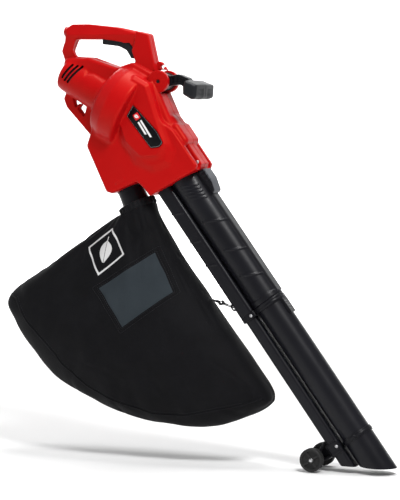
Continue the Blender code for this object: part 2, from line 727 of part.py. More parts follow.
FRONT_ARM = [(147, -98, 8), (160, -92, 12), (183, -99, 6), (203, -95, 6), (225, -103, 4), (236, -116, 3),
             (226, -131, 3), (208, -119, 6), (184, -121, 6), (168, -128, 8), (148, -126, 8)]
T_GRIP = [(236, -108, 4), (265, -119, 8), (263, -149, 10), (250, -153, 8), (229, -141, 6), (229, -122, 4)]


def front_arm(across):
    """The arm and its round root, with the seat of the grip cut into its end."""
    arm = plate("arm", [rounded(FRONT_ARM)], ARM_HALF, edge=2.5)
    arm = joined("arm", [arm, disc("root", ROOT_R, -ROOT_HALF, ROOT_HALF, across, 32, edge=1)])
    seat = plate("seat", [rounded(inset(T_GRIP, -GAP))], T_GRIP_HALF)
    return cut(arm, [disc("bore", BOLT_R + 0.35, -40, 40, across, 16), seat])


def grip_halves():
    grip = plate("grip", [rounded(T_GRIP)], T_GRIP_HALF, edge=4.5)
    right = copy_of(grip, "grip_right")
    cut(right, [box("left_side", (200, -GAP / 2, -200), (300, 100, 0))])
    cut(grip, [box("right_side", (200, -100, -200), (300, GAP / 2, 0))])
    return right, grip


def pivot_bolt(across):
    shank = disc("shank", BOLT_R, -31.0, 31.0, across, 16)
    return joined("bolt", [shank, disc("head", BOLT_HOLE_R - 0.2, -33.0, -29.0, across, 16)])


def front_handle():
    across = facing((0, 1, 0), PIVOT)
    arm = front_arm(across)
    right, left = grip_halves()
    lows = (-ROOT_HALF - 4, ROOT_HALF + 0.6)
    rings = [ring("detent", DETENT_R, BOLT_R + 1.2, low, low + DETENT_THICKNESS, across, 32) for low in lows]
    found = [finish(arm, "front_handle_arm", "black_plastic", PIVOT),
             finish(right, "front_grip_right", "grey_plastic", PIVOT),
             finish(left, "front_grip_left", "grey_plastic", PIVOT),
             finish(pivot_bolt(across), "pivot_bolt", "steel")]
    for obj, name in zip(rings, ("detent_ring_right", "detent_ring_left")):
        found.append(finish(obj, name, "rubber", PIVOT))
    return found


# ---------------------------------------------------------------- tubes


def blow_duct(name, half, low_n, high_n, start, end, round_edge):
    """A long duct of rounded rectangular section, down the tubes."""
    corners = [(-high_n, -half, round_edge), (-low_n, -half, round_edge), (-low_n, half, round_edge),
               (-high_n, half, round_edge)]
    outline = rounded(corners, 3)
    form = bmesh.new()
    verts = [form.verts.new((x, y, start)) for x, y in outline]
    face = form.faces.new(verts)
    moved = bmesh.ops.extrude_face_region(form, geom=[face])
    far = [item for item in moved["geom"] if isinstance(item, bmesh.types.BMVert)]
    bmesh.ops.translate(form, vec=(0, 0, end - start), verts=far)
    bmesh.ops.recalc_face_normals(form, faces=form.faces)
    bmesh.ops.triangulate(form, faces=form.faces)
    mesh = bpy.data.meshes.new(name)
    form.to_mesh(mesh)
    form.free()
    return keep(name, mesh, TUBES)


def upper_tube():
    """The round tube and the flat duct under it in one moulding, with a spine on top."""
    frame = SUCTION
    outer = [disc("round", UPPER_R, SOCKET_S + GAP, JOINT_S, frame, TUBE_SIDES),
             blow_duct("flat", BLOW_HALF, BLOW_LOW_N, BLOW_TOP_N, SOCKET_S + GAP, JOINT_S, 9),
             blow_duct("web", WEB_HALF, BLOW_TOP_N - 4, BLOW_TOP_N + 10, SOCKET_S + GAP, JOINT_S, 2),
             blow_duct("spine", WEB_HALF, 6, 21.8, SOCKET_END_S + 15, JOINT_S - 60, 3),
             disc("cuff", UPPER_R + 1.6, JOINT_S - 12, JOINT_S, frame, TUBE_SIDES)]
    tube = joined("upper_tube", outer)
    round_bore = disc("bore", UPPER_R - TUBE_WALL, SOCKET_S - 10, JOINT_S + 10, frame, TUBE_SIDES)
    flat_bore = blow_duct("bore", BLOW_HALF - TUBE_WALL, BLOW_LOW_N + TUBE_WALL, LOWER_BLOW_TOP_N + 1.0,
                          SOCKET_S - 10, JOINT_S + 10, 7)
    cut(tube, [round_bore, flat_bore])
    return finish(tube, "upper_tube", "black_plastic")


def ground_cutter():
    """Everything below the level where both nozzles are cut off flat."""
    return box("ground", (300, -200, GROUND_Z - 200), (900, 200, GROUND_Z))


def lower_tubes():
    start, end = JOINT_S - 30, TUBE_END_S
    suction = disc("suction", LOWER_R, start, end, SUCTION, TUBE_SIDES)
    bore = disc("bore", LOWER_R - TUBE_WALL, start - 5, end + 5, SUCTION, TUBE_SIDES)
    suction = cut(suction, [bore, ground_cutter()])
    blow = blow_duct("blow", LOWER_BLOW_HALF, LOWER_BLOW_LOW_N, LOWER_BLOW_TOP_N, start, end, 8)
    bore = blow_duct("bore", LOWER_BLOW_HALF - TUBE_WALL, LOWER_BLOW_LOW_N + TUBE_WALL,
                     LOWER_BLOW_TOP_N - TUBE_WALL, start - 5, end + 5, 6)
    blow = cut(blow, [bore, ground_cutter()])
    return [finish(suction, "lower_suction_tube", "black_plastic"),
            finish(blow, "lower_blow_tube", "black_plastic")]


def joint_band():
    """The collar that screws the lower tubes to the upper one, with its tongue along the round tube."""
    start, end = JOINT_S + GAP, JOINT_S + 14
    cuff = disc("cuff", LOWER_R + 4, start, end, SUCTION, TUBE_SIDES)
    flat = blow_duct("flat", BLOW_HALF, BLOW_LOW_N, BLOW_TOP_N + 2, start, end, 8)
    band = joined("band", [cuff, flat, blow_duct("tongue", 15, 12, 20.5, JOINT_S + 6, TONGUE_S, 2)])
    round_bore = disc("bore", LOWER_R + GAP, JOINT_S - 5, TONGUE_S + 5, SUCTION, TUBE_SIDES)
    flat_bore = blow_duct("bore", LOWER_BLOW_HALF + GAP, LOWER_BLOW_LOW_N - GAP, LOWER_BLOW_TOP_N + GAP,
                          JOINT_S - 5, JOINT_S + 30, 8)
    return finish(cut(band, [round_bore, flat_bore]), "joint_band", "black_plastic")


def safety_wedge():
    """The grey wedge on top of the tube, just below the housing, with finger ribs on both sides."""
    profile = [(-20.9, 403, 0), (-37.5, 404, 4), (-38, 430, 6), (-30, 458, 4), (-22.3, 462, 0)]
    wedge = plate("wedge", [rounded(profile)], WEDGE_HALF, edge=2, frame=TUBES)
    ribs = []
    for side in (-1, 1):
        for index in range(4):
            s = 409 + 11 * index
            low, high = sorted((20.0 * side, 25.0 * side))
            ribs.append(box("rib", (-40, low, s), (-26, high, s + 4), TUBES))
    cut(wedge, ribs)
    cut(wedge, [disc("seat", UPPER_R + 0.5, 380, 480, SUCTION, TUBE_SIDES),
                blow_duct("seat", WEB_HALF + 0.4, 0, 22.2, 380, 480, 2)])
    return finish(wedge, "safety_wedge", "grey_plastic")


def bag_duct():
    """The duct that carries the shredded leaves from the casing into the bag."""
    length = DUCT_AXIS.length
    outer, wide = DUCT_R, DUCT_R + DUCT_FLARE
    profile = [(outer - TUBE_WALL, -9), (outer, -9), (outer, length * 0.5), (wide, length - 8),
               (wide, length + 22), (wide - TUBE_WALL, length + 22), (wide - TUBE_WALL, length - 8),
               (outer - TUBE_WALL, length * 0.5)]
    duct = turned("duct", profile, DUCT, 32)
    return finish(duct, "bag_duct", "black_plastic")


# ---------------------------------------------------------------- wheels


def wheel(name, frame):
    """A wheel with a recessed face, a raised hub and four spokes."""
    half = WHEEL_WIDTH / 2
    profile = [(AXLE_R + GAP, half - 5), (7.5, half - 5), (7.5, half - 1), (8.5, half - 5), (19, half - 4),
               (20.5, half), (WHEEL_R - 2.5, half), (WHEEL_R, half - 2.5), (WHEEL_R, 2.5 - half),
               (WHEEL_R - 2.5, -half), (AXLE_R + GAP, -half)]
    pieces = [turned("wheel", profile, frame, 24)]
    for index in range(4):
        turn = Matrix.Rotation(pi * index / 2 + 0.6, 4, "Z")
        pieces.append(box("spoke", (7, -2, half - 7), (20, 2, half - 1.4), frame @ turn))
    return joined(name, pieces)


def wheel_screw(frame):
    half = WHEEL_WIDTH / 2
    profile = [(0, half + 0.2), (3.6, half - 0.6), (5.4, half - 2.2), (5.4, half - 4.6), (0, half - 4.6)]
    return turned("screw", profile, frame, 20)


def wheels():
    axle_frame = facing((0, 1, 0), (WHEEL_CENTRE[0], 0, WHEEL_CENTRE[1]))
    found = []
    for name, side in (("right", -1), ("left", 1)):
        frame = axle_frame @ Matrix.Translation((0, 0, side * WHEEL_Y)) @ Matrix.Scale(side, 4, (0, 0, 1))
        centre = (WHEEL_CENTRE[0], side * WHEEL_Y, WHEEL_CENTRE[1])
        found.append(finish(wheel("wheel", frame), f"wheel_{name}", "black_plastic", centre))
        found.append(finish(wheel_screw(frame), f"wheel_screw_{name}", "steel"))
    reach = WHEEL_Y + WHEEL_WIDTH / 2 - 5.2
    axle = disc("axle", AXLE_R, -reach, reach, axle_frame, 20)
    found.append(finish(axle, "wheel_axle", "steel"))
    return found


def wheel_bracket():
    """A saddle round the blowing tube, with an arm down to the axle."""
    saddle = blow_duct("saddle", LOWER_BLOW_HALF + 4, LOWER_BLOW_LOW_N - 4, LOWER_BLOW_TOP_N + 1, *SADDLE_S, 7)
    cut(saddle, [blow_duct("bore", LOWER_BLOW_HALF + GAP, LOWER_BLOW_LOW_N - GAP, LOWER_BLOW_TOP_N + 12,
                           1000, 1200, 8)])
    arm_points = [(556, -896, 0), (580, -929, 0), (560, -943, 6), (538, -952, 10), (522, -949, 8),
                  (524, -930, 8), (540, -924, 4)]
    arm = plate("arm", [rounded(arm_points)], 22.0, edge=2)
    cut(arm, [blow_duct("clear", LOWER_BLOW_HALF + 6, LOWER_BLOW_LOW_N - GAP, 40, 1000, 1200, 2)])
    bracket = joined("bracket", [saddle, arm])
    axle_frame = facing((0, 1, 0), (WHEEL_CENTRE[0], 0, WHEEL_CENTRE[1]))
    cut(bracket, [disc("bore", AXLE_R + GAP, -60, 60, axle_frame, 20)])
    return finish(bracket, "wheel_bracket", "black_plastic")


def tube_clamp():
    """The ring that ties the wheel bracket to the suction tube, with a barb on its near side."""
    frame = SUCTION
    low, high = CLAMP_S
    clamp = ring("clamp", LOWER_R + 2.4, LOWER_R + GAP, low, high, frame, TUBE_SIDES)
    barb = box("barb", (-7, -LOWER_R - 5, low + 2), (7, -LOWER_R + 2, high - 2), frame, edge=1.5)
    clamp = joined("clamp", [clamp, barb])
    cut(clamp, [disc("bore", LOWER_R + GAP, 1000, 1200, frame, TUBE_SIDES),
                blow_duct("clear", LOWER_BLOW_HALF + 8, LOWER_BLOW_LOW_N - 8, LOWER_BLOW_TOP_N + 1.3,
                          1000, 1200, 2)])
    return finish(clamp, "tube_clamp", "black_plastic")


def screws():
    """Cross-head screws, each seated on the face that it holds."""
    places = {
        "socket_screw": (at_tubes(384, 34.5, -GROOVE_IN - GAP), (0, -1, 0), 3.8),
        "joint_screw": (at_tubes(JOINT_S + 7.5, -59, -BLOW_HALF - GAP), (0, -1, 0), 3.6),
        "bracket_screw": (at_tubes(1079, -61, -LOWER_BLOW_HALF - 4 - GAP), (0, -1, 0), 3.6),
    }
    found = []
    for name, (place, normal, radius) in places.items():
        frame = facing(normal, place)
        head = turned("head", [(0, 2.0), (radius * 0.6, 1.8), (radius, 0.8), (radius, 0), (0, 0)], frame, 20)
        for turn in (0.4, 0.4 + pi / 2):
            across = frame @ Matrix.Rotation(turn, 4, "Z")
            cut(head, [box("slot", (-radius * 0.7, -0.5, 1.0), (radius * 0.7, 0.5, 3), across)])
        found.append(finish(head, name, "steel"))
    return found


LABEL = [(114.5, -164, 1.5), (99.5, -188, 1.5), (158, -260, 7), (178, -257, 6), (187, -248, 4), (172, -222, 4)]


def label_plates():
    right = plate("label", [rounded(LABEL)], 0.7, y=-BODY_HALF - 1.0)
    left = mirrored(right, "label_plate_left")
    return [finish(right, "label_plate_right", "label"), finish(left, "label_plate_left", "label")]


# ---------------------------------------------------------------- bag

BAG_UPPER = [(68, -413), (54, -423), (20, -446), (-55, -494), (-140, -538), (-200, -574), (-232, -612)]
BAG_LOWER = [(133, -382.5), (146, -405), (194, -492), (268, -591), (334, -675), (394, -753), (430, -802)]
BAG_UPPER_END = [(-216, -648), (-176, -706), (-110, -778), (-20, -826)]
BAG_LOWER_END = [(424, -824), (350, -862), (262, -880), (172, -877)]
BAG_THICKNESS = [36.5, 45, 58, 84, 99, BAG_HALF, BAG_HALF, 100, 88, 66, 34]
BAG_SIDES = 24


def oval(form, high, low, half):
    """A ring of points between the bag's upper and lower edges, this thick each way."""
    high, low = Vector(high), Vector(low)
    middle, reach = (high + low) / 2, (low - high) / 2
    found = []
    for index in range(BAG_SIDES):
        turn = 2 * pi * index / BAG_SIDES
        place = (middle.x + reach.x * cos(turn), half * sin(turn), middle.y + reach.y * cos(turn))
        found.append(form.verts.new(place))
    return found


def bag():
    """A fabric sack, open at its neck, lofted through flattened oval sections."""
    form = bmesh.new()
    sections = zip(BAG_UPPER + BAG_UPPER_END, BAG_LOWER + BAG_LOWER_END, BAG_THICKNESS)
    rings = [oval(form, high, low, half) for high, low, half in sections]
    for first, second in zip(rings, rings[1:]):
        for i in range(BAG_SIDES):
            j = (i + 1) % BAG_SIDES
            form.faces.new((first[i], first[j], second[j], second[i]))
    form.faces.new(rings[-1])
    bmesh.ops.recalc_face_normals(form, faces=form.faces)
    mesh = bpy.data.meshes.new("bag")
    form.to_mesh(mesh)
    form.free()
    sack = keep("bag", mesh)
    shell = sack.modifiers.new("cloth", "SOLIDIFY")
    shell.thickness = BAG_WALL
    shell.offset = -1
    apply(sack)
    return finish(sack, "bag", "bag_fabric")


HOOK_EYE_S, HOOK_EYE_N = 694.0, -93.0
HOOK_HALF = 6.5
STRAP_END = (284.0, -601.0)


def bag_zip():
    """The zip along the bag's rear lower edge, and its slider."""
    line = [Vector(p) for p in BAG_UPPER[-1:] + BAG_UPPER_END]
    outer, inner = [], []
    for index, point in enumerate(line):
        along = (line[min(index + 1, len(line) - 1)] - line[max(index - 1, 0)]).normalized()
        away = Vector((along.y, -along.x))
        outer.append(point + away * 4.2)
        inner.append(point + away * 1.2)
    tape = plate("tape", [outer + inner[::-1]], 6.0)
    middle = (outer[1] + outer[2]) / 2
    along = outer[2] - outer[1]
    turn = -along.angle_signed(Vector((1, 0)))
    frame = Matrix.Translation((middle.x, 0, middle.y)) @ Matrix.Rotation(turn, 4, "Y")
    slider = box("slider", (-8, -5, -3.5), (8, 5, -0.4), frame, edge=1)
    return [finish(tape, "bag_zip", "webbing"), finish(slider, "zip_slider", "steel")]


def tube_eye(centre):
    """The moulded eye under the tube that the bag's hook holds on to."""
    low, high = HOOK_EYE_S - 14, HOOK_EYE_S + 14
    top = -BLOW_LOW_N + GAP
    outline = [(top, low, 0), (top, high, 0), (top + 14, high - 8, 6), (top + 14, low + 8, 6)]
    eye = plate("tube_eye", [rounded(outline)], 2.5, edge=0.8, frame=TUBES)
    cut(eye, [disc("hole", 4.2, -10, 10, facing((0, 1, 0), centre), 16)])
    return finish(eye, "tube_eye", "black_plastic")


def snap_hook(frame):
    """The hook's bent wire, and the sprung gate that closes it."""
    half = HOOK_HALF
    tip = [(22, -half, 0), (4, -half, 0), (0, -half + 1.2, 0), (-2.2, -half + 3.4, 0), (-2.5, 0, 0),
           (-2.2, half - 3.4, 0), (0, half - 1.2, 0), (3, half, 0)]
    back = [(18, half, 0), (26, half, 0), (28.5, half - 1.2, 0), (29, 4, 0), (29, -4, 0),
            (28.5, 1.2 - half, 0)]
    body = rail("hook", back + tip, 1.3, frame)
    gate = rail("gate", [(4.8, half, 0), (17.5, half, 0)], 1.0, frame)
    gate_pivot = frame @ Vector((16.5, half, 0))
    return [finish(body, "snap_hook", "steel"), finish(gate, "snap_hook_gate", "steel", gate_pivot)]


def bag_strap(frame, length):
    """The webbing from the bag, sewn round the hook's rear end."""
    loop_frame = frame @ Matrix.Translation((31.0, 0, 0)) @ Matrix.Rotation(radians(90), 4, "X")
    tape = box("tape", (35.5, -7, -1), (length, 7, 1), frame)
    strap = joined("loop", [tape, ring("loop", 5.4, 3.6, -2.8, 2.8, loop_frame, 16)])
    return finish(strap, "bag_strap", "webbing")


def bag_hook():
    """A snap hook between a webbing loop on the bag and a moulded eye on the tube."""
    eye_centre = at_tubes(HOOK_EYE_S, HOOK_EYE_N)
    reach = Vector((STRAP_END[0], 0, STRAP_END[1])) - eye_centre
    pull = reach.normalized()
    turn = Matrix(((pull.x, 0, -pull.z), (0, 1, 0), (pull.z, 0, pull.x))).to_4x4()
    frame = Matrix.Translation(eye_centre) @ turn
    return [tube_eye(eye_centre)] + snap_hook(frame) + [bag_strap(frame, reach.length)]


def bag_collar():
    """The ring that ties the bag's neck to its duct."""
    length = DUCT_AXIS.length
    inner = DUCT_R + DUCT_FLARE + 0.4
    profile = [(inner, length - 7), (inner + 4, length - 7), (inner + 6, length - 4), (inner + 6, length),
               (inner, length)]
    collar = turned("collar", profile, DUCT, 32)
    return finish(collar, "bag_collar", "black_plastic")


def main():
    clear_scene()
    housing_halves()
    inlet_elbow()
    controls()
    mains_inlet()
    motor_core()
    windings()
    brush_gear()
    bearings()
    rotor_parts()
    mode_selector()
    front_handle()
    upper_tube()
    joint_band()
    safety_wedge()
    bag_duct()
    wheel_bracket()
    tube_clamp()
    lower_tubes()
    wheels()
    screws()
    label_plates()
    bag()
    bag_collar()
    bag_zip()
    bag_hook()


main()
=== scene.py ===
"""Looks of the leaf blower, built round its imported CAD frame.

Shapes are made in millimetres in the CAD's own frame and scaled to metres as they are placed. Moulded
pieces are distance fields turned to meshes, so that their walls blend as moulded plastic does. The bag is
a sewn shell that a cloth simulation fills, and its trims are laid on the filled shape.
"""

import json
from math import cos, pi, radians, sin

import bmesh
import bpy
import numpy as np
from mathutils import Matrix, Vector, noise as perlin
from mathutils.bvhtree import BVHTree


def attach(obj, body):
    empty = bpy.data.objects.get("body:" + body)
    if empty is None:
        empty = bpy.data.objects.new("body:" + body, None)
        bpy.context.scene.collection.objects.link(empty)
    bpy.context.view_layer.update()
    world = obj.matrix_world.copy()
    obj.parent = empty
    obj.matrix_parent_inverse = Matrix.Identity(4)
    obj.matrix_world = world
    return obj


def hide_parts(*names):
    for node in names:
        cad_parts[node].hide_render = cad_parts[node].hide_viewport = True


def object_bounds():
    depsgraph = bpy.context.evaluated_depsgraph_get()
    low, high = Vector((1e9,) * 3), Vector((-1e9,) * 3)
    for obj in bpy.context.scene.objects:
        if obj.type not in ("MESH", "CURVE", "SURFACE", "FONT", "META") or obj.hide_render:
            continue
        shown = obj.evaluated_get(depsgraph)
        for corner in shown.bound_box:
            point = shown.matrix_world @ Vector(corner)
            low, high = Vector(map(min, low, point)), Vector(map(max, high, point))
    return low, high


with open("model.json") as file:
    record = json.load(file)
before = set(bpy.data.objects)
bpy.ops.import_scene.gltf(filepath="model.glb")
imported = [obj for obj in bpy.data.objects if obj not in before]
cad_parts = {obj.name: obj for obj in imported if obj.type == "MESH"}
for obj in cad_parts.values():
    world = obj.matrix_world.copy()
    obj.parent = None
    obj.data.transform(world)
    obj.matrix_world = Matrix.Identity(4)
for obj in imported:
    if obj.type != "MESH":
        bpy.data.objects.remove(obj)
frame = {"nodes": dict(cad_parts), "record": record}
CAD_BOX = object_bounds()
NODES = frame["nodes"]
MM = 0.001

# ---------------------------------------------------------------- frames
# Positions measured on the machine, in millimetres: S runs down the tubes, N out of their upper side.


def tilted(angle, centre=(0.0, 0.0, 0.0)):
    """A frame whose Z runs along +X, dipping by this angle. Its -X side faces up."""
    return Matrix.Translation(Vector(centre)) @ Matrix.Rotation(radians(90.0 + angle), 4, "Y")


def facing(normal, centre):
    """A frame whose Z runs along the normal."""
    turn = Vector((0.0, 0.0, 1.0)).rotation_difference(Vector(normal).normalized())
    return Matrix.Translation(Vector(centre)) @ turn.to_matrix().to_4x4()


WORLD = Matrix.Identity(4)
MIRROR = Matrix.Scale(-1.0, 4, (0.0, 1.0, 0.0))
MOTOR = tilted(28.0, (72.0, 0.0, -170.0))
TUBES = tilted(54.0)
SUCTION_N = -16.5
SUCTION = TUBES @ Matrix.Translation((-SUCTION_N, 0.0, 0.0))
PIVOT = (162.0, 0.0, -111.7)
FLAP_AXIS = (113.0, 0.0, -310.0)
AXLE = (532.0, 0.0, -940.5)
WHEEL_Y = 41.0
GROUND = -953.0
BAND_S, LOWER_START_S = 728.0, 698.0
HOOK_EYE_S, HOOK_EYE_N = 694.0, -93.0
HOOK_HALF = 6.5
ACROSS = facing((0, 1, 0), PIVOT)
INLET = facing((-1.0, 0.0, 0.12), (-73.0, 0.0, 2.0))
DUCT_TOP, DUCT_END = Vector((70.0, 0.0, -333.0)), Vector((99.0, 0.0, -395.5))
DUCT = facing(DUCT_END - DUCT_TOP, DUCT_TOP)
DUCT_LENGTH = (DUCT_END - DUCT_TOP).length


def at_tubes(s, n, y=0.0):
    """The point this far down the tubes and this far out of their upper side."""
    return TUBES @ Vector((-n, y, s))


# ---------------------------------------------------------------- distance fields

FAR = 1e3
TABLE_CELL, TABLE_MARGIN = 0.5, 12


class Grid:
    """Sample points on a lattice in a frame. Places in another frame are found without filling memory."""

    def __init__(self, low, high, step, place=WORLD):
        self.low, self.step, self.place = np.array(low, float), np.array(step, float), place
        self.count = np.ceil((np.array(high, float) - self.low) / self.step).astype(int) + 1
        axes = [(self.low[i] + self.step[i] * np.arange(self.count[i])).astype(np.float32) for i in range(3)]
        self.x = axes[0][:, None, None]
        self.y = axes[1][None, :, None]
        self.z = axes[2][None, None, :]

    def into(self, other):
        """X, Y and Z in another frame that is only turned about Y, or moved."""
        m = other.inverted() @ self.place
        x = m[0][0] * self.x + m[0][2] * self.z + m[0][3]
        z = m[2][0] * self.x + m[2][2] * self.z + m[2][3]
        return x.astype(np.float32), (m[1][1] * self.y + m[1][3]).astype(np.float32), z.astype(np.float32)


def lattice(low, high, fine, place=WORLD):
    """The size may differ along each axis."""
    step = fine
    return Grid(low, high, step if isinstance(step, tuple) else (step,) * 3, place)


def corner_points(corners, steps=6):
    """An outline from (x, z, corner radius) points."""
    points = [np.array((x, z), float) for x, z, _ in corners]
    found = []
    for index, (_, _, radius) in enumerate(corners):
        here, before, after = points[index], points[index - 1], points[(index + 1) % len(points)]
        if radius <= 0:
            found.append(here)
            continue
        back, onward = before - here, after - here
        reach_back, reach_on = np.linalg.norm(back), np.linalg.norm(onward)
        cosine = np.clip(back @ onward / reach_back / reach_on, -0.999, 0.999)
        half = np.arccos(cosine) / 2
        reach = min(radius / np.tan(half), 0.49 * reach_back, 0.49 * reach_on)
        start, end = here + back * (reach / reach_back), here + onward * (reach / reach_on)
        for t in np.linspace(0, 1, steps + 1):
            found.append((1 - t) ** 2 * start + 2 * t * (1 - t) * here + t * t * end)
    return np.array(found)


def outline(u, v, points):
    """Signed distance to a closed outline, negative inside."""
    best = np.full(np.broadcast(u, v).shape, FAR * FAR, np.float32)
    inside = np.zeros(best.shape, bool)
    for (ax, az), (bx, bz) in zip(points, np.roll(points, -1, axis=0)):
        ex, ez = bx - ax, bz - az
        t = np.clip(((u - ax) * ex + (v - az) * ez) / max(ex * ex + ez * ez, 1e-9), 0, 1)
        best = np.minimum(best, (u - ax - t * ex) ** 2 + (v - az - t * ez) ** 2)
        if az != bz:
            inside ^= ((v >= min(az, bz)) & (v < max(az, bz)) & (u < ax + (v - az) * ex / ez))
    return np.where(inside, -1, 1) * np.sqrt(best)


def between(along, low, high):
    """The distance outside the span from low to high."""
    return np.abs(along - (low + high) / 2) - (high - low) / 2


def rounded_pair(a, b, radius):
    """The overlap of two fields, its edge rounded by this radius."""
    if radius <= 0:
        return np.maximum(a, b)
    a, b = a + radius, b + radius
    return np.minimum(np.maximum(a, b), 0) + np.sqrt(np.maximum(a, 0) ** 2 + np.maximum(b, 0) ** 2) - radius


def slab(grid, corners, half, y=0.0, edge=0.0, place=WORLD, holes=(), steps=6):
    """A flat outline in X and Z, extruded along Y to y +- half, its long edges rounded."""
    u, across, v = grid.into(place)
    flat = outline(u, v, corner_points(corners, steps))
    for hole in holes:
        flat = np.maximum(flat, -outline(u, v, corner_points(hole, steps)))
    return rounded_pair(flat, np.abs(across - y) - half, edge)


def lathe(grid, corners, place, steps=5):
    """A turned shape from a closed (radius, height) outline, by way of a fine table."""
    u, across, v = grid.into(place)
    radius = np.sqrt(u * u + across * across)
    height = np.broadcast_to(v, radius.shape)
    points = corner_points(corners, steps)
    cell = TABLE_CELL
    low = points.min(0) - TABLE_MARGIN
    low[0] = 0.0
    size = np.ceil((points.max(0) + TABLE_MARGIN - low) / cell).astype(int) + 1
    across_table, up_table = (low[axis] + cell * np.arange(size[axis]) for axis in (0, 1))
    table = outline(across_table[:, None], up_table[None, :], points)
    i = (radius - low[0]) / cell
    j = (height - low[1]) / cell
    past_side, past_end = np.maximum(i - size[0] + 2, 0), np.maximum(np.maximum(-j, j - size[1] + 2), 0)
    beyond = cell * np.sqrt(past_side ** 2 + past_end ** 2)
    i, j = np.clip(i, 0, size[0] - 2), np.clip(j, 0, size[1] - 2)
    a, b = i.astype(np.int32), j.astype(np.int32)
    fi, fj = i - a, j - b
    value = (table[a, b] * (1 - fi) * (1 - fj) + table[a + 1, b] * fi * (1 - fj)
             + table[a, b + 1] * (1 - fi) * fj + table[a + 1, b + 1] * fi * fj)
    return (value + beyond).astype(np.float32)


def drum(grid, radius, low, high, place, edge=0.0):
    """A round bar on the frame's Z."""
    u, across, v = grid.into(place)
    return rounded_pair(np.sqrt(u * u + across * across) - radius, between(v, low, high), edge)


def bar_y(grid, radius, low, high, centre, edge=0.0):
    """A round bar along Y."""
    u, across, v = grid.into(Matrix.Translation((centre[0], 0, centre[-1])))
    return rounded_pair(np.sqrt(u * u + v * v) - radius, between(across, low, high), edge)


def block(grid, low, high, place=WORLD, edge=0.0):
    """A box in a frame, from its low corner to its high one."""
    parts = [between(along, a, b) for along, a, b in zip(grid.into(place), low, high)]
    return rounded_pair(rounded_pair(parts[0], parts[2], edge), parts[1], edge)


def duct_field(grid, half, low_n, high_n, start, end, edge):
    """A duct of rounded rectangular section down the tubes."""
    u, across, v = grid.into(TUBES)
    section = rounded_pair(np.abs(u + (low_n + high_n) / 2) - (high_n - low_n) / 2, np.abs(across) - half, edge)
    return np.maximum(section, between(v, start, end))


def blend(a, b, width):
    """Both shapes, with a fillet between them."""
    if width <= 0:
        return np.minimum(a, b)
    h = np.maximum(width - np.abs(a - b), 0) / width
    return np.minimum(a, b) - h * h * width / 4


def carve(a, b, width=0.0):
    """The first shape without the second, the edge between them softened."""
    return -blend(-a, b, width)


def net(grid, field, name):
    """The surface where a field is zero, as a mesh of quads pulled onto it."""
    inside = field < 0
    corners = [(i, j, k) for i in (0, 1) for j in (0, 1) for k in (0, 1)]
    n = np.array(field.shape)

    def part(a, o):
        return a[o[0]:n[0] - 1 + o[0], o[1]:n[1] - 1 + o[1], o[2]:n[2] - 1 + o[2]]

    total = sum(part(inside, o).astype(np.uint8) for o in corners)
    active = (total > 0) & (total < 8)
    cells = np.argwhere(active)
    number = np.full(active.shape, -1, np.int64)
    number[active] = np.arange(len(cells))
    place, crossings = np.zeros((len(cells), 3)), np.zeros((len(cells), 1))
    for axis in range(3):
        step = np.eye(3, dtype=int)[axis]
        for o in corners:
            if o[axis]:
                continue
            a = cells + np.array(o)
            b = a + step
            fa, fb = field[tuple(a.T)].astype(float), field[tuple(b.T)].astype(float)
            hit = (fa < 0) != (fb < 0)
            t = np.where(hit, fa / np.where(hit, fa - fb, 1), 0)[:, None]
            place += hit[:, None] * (np.array(o) + t * step)
            crossings += hit[:, None]
    place = cells + place / crossings
    quads = []
    for axis in range(3):
        one, two = (axis + 1) % 3, (axis + 2) % 3
        step = np.eye(3, dtype=int)
        low = [slice(None)] * 3
        high = [slice(None)] * 3
        low[axis], high[axis] = slice(0, -1), slice(1, None)
        for side in (one, two):
            low[side] = high[side] = slice(1, -1)
        first, second = inside[tuple(low)], inside[tuple(high)]
        at = np.argwhere(first != second)
        flip = first[tuple(at.T)]
        at[:, one] += 1
        at[:, two] += 1
        ring = [at - step[one] - step[two], at - step[two], at, at - step[one]]
        quad = np.stack([number[tuple(c.T)] for c in ring], 1)
        quad[~flip] = quad[~flip][:, ::-1]
        quads.append(quad)
    faces = np.concatenate(quads)
    for _ in range(3):
        place = pulled(field, place, grid.step)
    m = np.array(grid.place)
    points = ((place * grid.step + grid.low) @ m[:3, :3].T + m[:3, 3]) * MM
    mesh = bpy.data.meshes.new(name)
    mesh.from_pydata(points.tolist(), [], faces.tolist())
    mesh.shade_smooth()
    return mesh


def sample(field, place):
    """The field's value at places inside the grid's cells, in cell units."""
    base = np.clip(np.floor(place).astype(int), 0, np.array(field.shape) - 2)
    t = place - base
    value = 0
    for i in (0, 1):
        for j in (0, 1):
            for k in (0, 1):
                shares = [t[:, axis] if far else 1 - t[:, axis] for axis, far in enumerate((i, j, k))]
                w = shares[0] * shares[1] * shares[2]
                value = value + w * field[base[:, 0] + i, base[:, 1] + j, base[:, 2] + k]
    return value


def pulled(field, place, step):
    """The points moved onto the surface, along the field's slope, by at most part of a cell."""
    value = sample(field, place)
    slope = []
    for axis in range(3):
        e = np.eye(3)[axis] * 0.5
        slope.append((sample(field, place + e) - sample(field, place - e)) / step[axis])
    slope = np.stack(slope, 1)
    move = -value[:, None] * slope / np.maximum((slope ** 2).sum(1, keepdims=True), 0.05)
    return place + np.clip(move / step, -0.45, 0.45)


SMOOTH_OVER, CAD_SMOOTH_OVER = 40.0, 35.0


def placed(mesh, name, body, slot, material, *stands_for):
    """Adds a piece to the scene on its body, in place of the CAD nodes that it stands for."""
    piece = bpy.data.objects.new(name, mesh)
    mesh.name = name
    bpy.context.scene.collection.objects.link(piece)
    mesh.materials.clear()
    mesh.materials.append(material)
    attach(piece, body)
    if stands_for:
        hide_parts(*stands_for)
    return piece


def mirrored(piece):
    """Turns a piece of the right half into its counterpart on the left."""
    piece.data.transform(MIRROR)
    piece.data.flip_normals()


